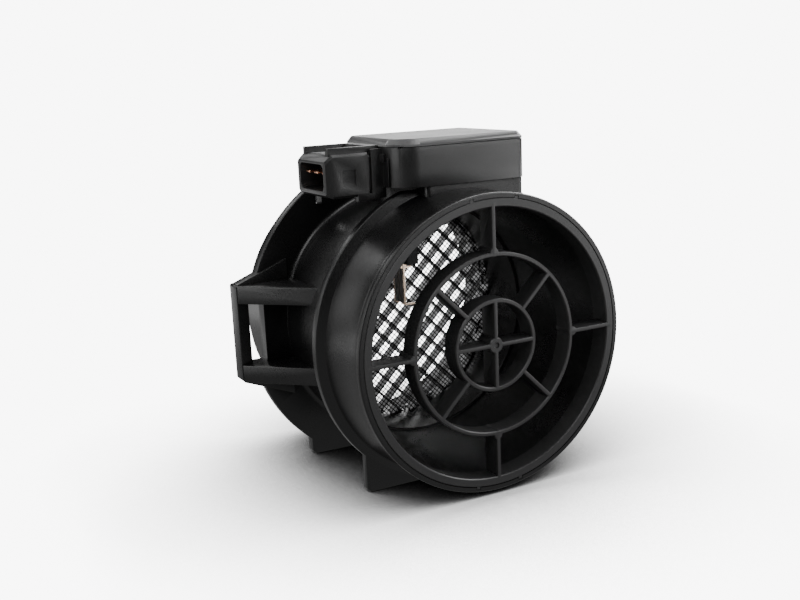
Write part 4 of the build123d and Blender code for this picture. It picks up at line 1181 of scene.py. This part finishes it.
class AIRFLOW_OT_grille(bpy.types.Operator):
    """Build the ringed outlet grille"""

    bl_idname = "airflow.grille"
    bl_label = "Outlet grille"
    bl_options = {"REGISTER", "UNDO"}

    def execute(self, context):
        finish_piece(grille_moulding(), ["outlet_grille"], material_of("grille"))
        return {"FINISHED"}


class AIRFLOW_OT_screen(bpy.types.Operator):
    """Build the woven screen and its rim"""

    bl_idname = "airflow.screen"
    bl_label = "Wire screen"
    bl_options = {"REGISTER", "UNDO"}

    def execute(self, context):
        for piece in (screen_weave(), screen_rim()):
            finish_piece(piece, ["wire_screen"], material_of("wire"))
        return {"FINISHED"}


class AIRFLOW_OT_grid(bpy.types.Operator):
    """Build the flow grid behind the screen"""

    bl_idname = "airflow.grid"
    bl_label = "Flow grid"
    bl_options = {"REGISTER", "UNDO"}

    def execute(self, context):
        finish_piece(grid_strips(), ["flow_grid"], material_of("strip"))
        return {"FINISHED"}


class AIRFLOW_OT_case(bpy.types.Operator):
    """Build the electronics case with its connector, its lid and the seal between them"""

    bl_idname = "airflow.case"
    bl_label = "Case, lid and seal"
    bl_options = {"REGISTER", "UNDO"}

    def execute(self, context):
        finish_piece(case_moulding(), ["electronics_case"], material_of("case"))
        finish_piece(lid_moulding(), ["case_lid"], material_of("lid"))
        finish_piece(seal_bead(), ["lid_seal"], material_of("rubber"))
        return {"FINISHED"}


class AIRFLOW_OT_sensing(bpy.types.Operator):
    """Finish the stem, the films and the prongs that carry them"""

    bl_idname = "airflow.sensing"
    bl_label = "Stem and films"
    bl_options = {"REGISTER", "UNDO"}

    def execute(self, context):
        stem = merged_copy("sensor_stem", "stem_moulding", 0.2)
        finish_piece(stem, ["sensor_stem"], material_of("stem"))
        for film in ("hot_film", "temperature_film"):
            dress(film, material_of("film"))
            for end in ("upper", "lower"):
                dress(f"{film}_{end}_prong", material_of("prong"))
        return {"FINISHED"}


class AIRFLOW_OT_fittings(bpy.types.Operator):
    """Finish the terminals, seals, retaining ring and circuit board"""

    bl_idname = "airflow.fittings"
    bl_label = "Terminals, seals and board"
    bl_options = {"REGISTER", "UNDO"}

    def execute(self, context):
        for index in (1, 2, 3):
            blade = merged_copy(f"terminal_{index}", f"terminal_blade_{index}", 0.12)
            finish_piece(blade, [f"terminal_{index}"], material_of("copper"))
        for node in ("inlet_seal", "stem_seal"):
            dress(node, material_of("rubber"))
        dress("retaining_ring", material_of("spring"))
        dress("circuit_board", material_of("board"))
        for node in ("signal_chip", "power_transistor"):
            dress(node, material_of("chip"))
        dress("board_capacitors", material_of("capacitor"))
        return {"FINISHED"}


class AIRFLOW_OT_stage(bpy.types.Operator):
    """Set up the floor, the lights and the camera"""

    bl_idname = "airflow.stage"
    bl_label = "Studio stage"
    bl_options = {"REGISTER", "UNDO"}

    def execute(self, context):
        studio_stage()
        return {"FINISHED"}


PIECES = (
    AIRFLOW_OT_tube, AIRFLOW_OT_grille, AIRFLOW_OT_screen, AIRFLOW_OT_grid, AIRFLOW_OT_case,
    AIRFLOW_OT_sensing, AIRFLOW_OT_fittings, AIRFLOW_OT_stage,
)


class AIRFLOW_PT_panel(bpy.types.Panel):
    """Lists the pieces of the airflow sensor"""

    bl_idname = "AIRFLOW_PT_panel"
    bl_label = "Mass Airflow Sensor"
    bl_space_type = "VIEW_3D"
    bl_region_type = "UI"
    bl_category = "Airflow"

    def draw(self, context):
        for name, _ in SETTINGS:
            settings = getattr(context.scene, name)
            box = self.layout.box()
            for key in settings.bl_rna.properties.keys():
                if key not in ("rna_type", "name"):
                    box.prop(settings, key)
        for piece in PIECES:
            self.layout.operator(piece.bl_idname)


SETTINGS = (
    ("airflow_tube", TubeSizes), ("airflow_grille", GrilleSizes), ("airflow_screen", ScreenSizes),
    ("airflow_finishes", Finishes),
)


def register():
    for name, group in SETTINGS:
        bpy.utils.register_class(group)
        setattr(bpy.types.Scene, name, PointerProperty(type=group))
    for piece in PIECES + (AIRFLOW_PT_panel,):
        bpy.utils.register_class(piece)


def unregister():
    for piece in reversed(PIECES + (AIRFLOW_PT_panel,)):
        bpy.utils.unregister_class(piece)
    for name, group in reversed(SETTINGS):
        delattr(bpy.types.Scene, name)
        bpy.utils.unregister_class(group)


def main():
    register()
    for piece in PIECES:
        family, action = piece.bl_idname.split(".")
        getattr(getattr(bpy.ops, family), action)()


if __name__ == "__main__":
    main()
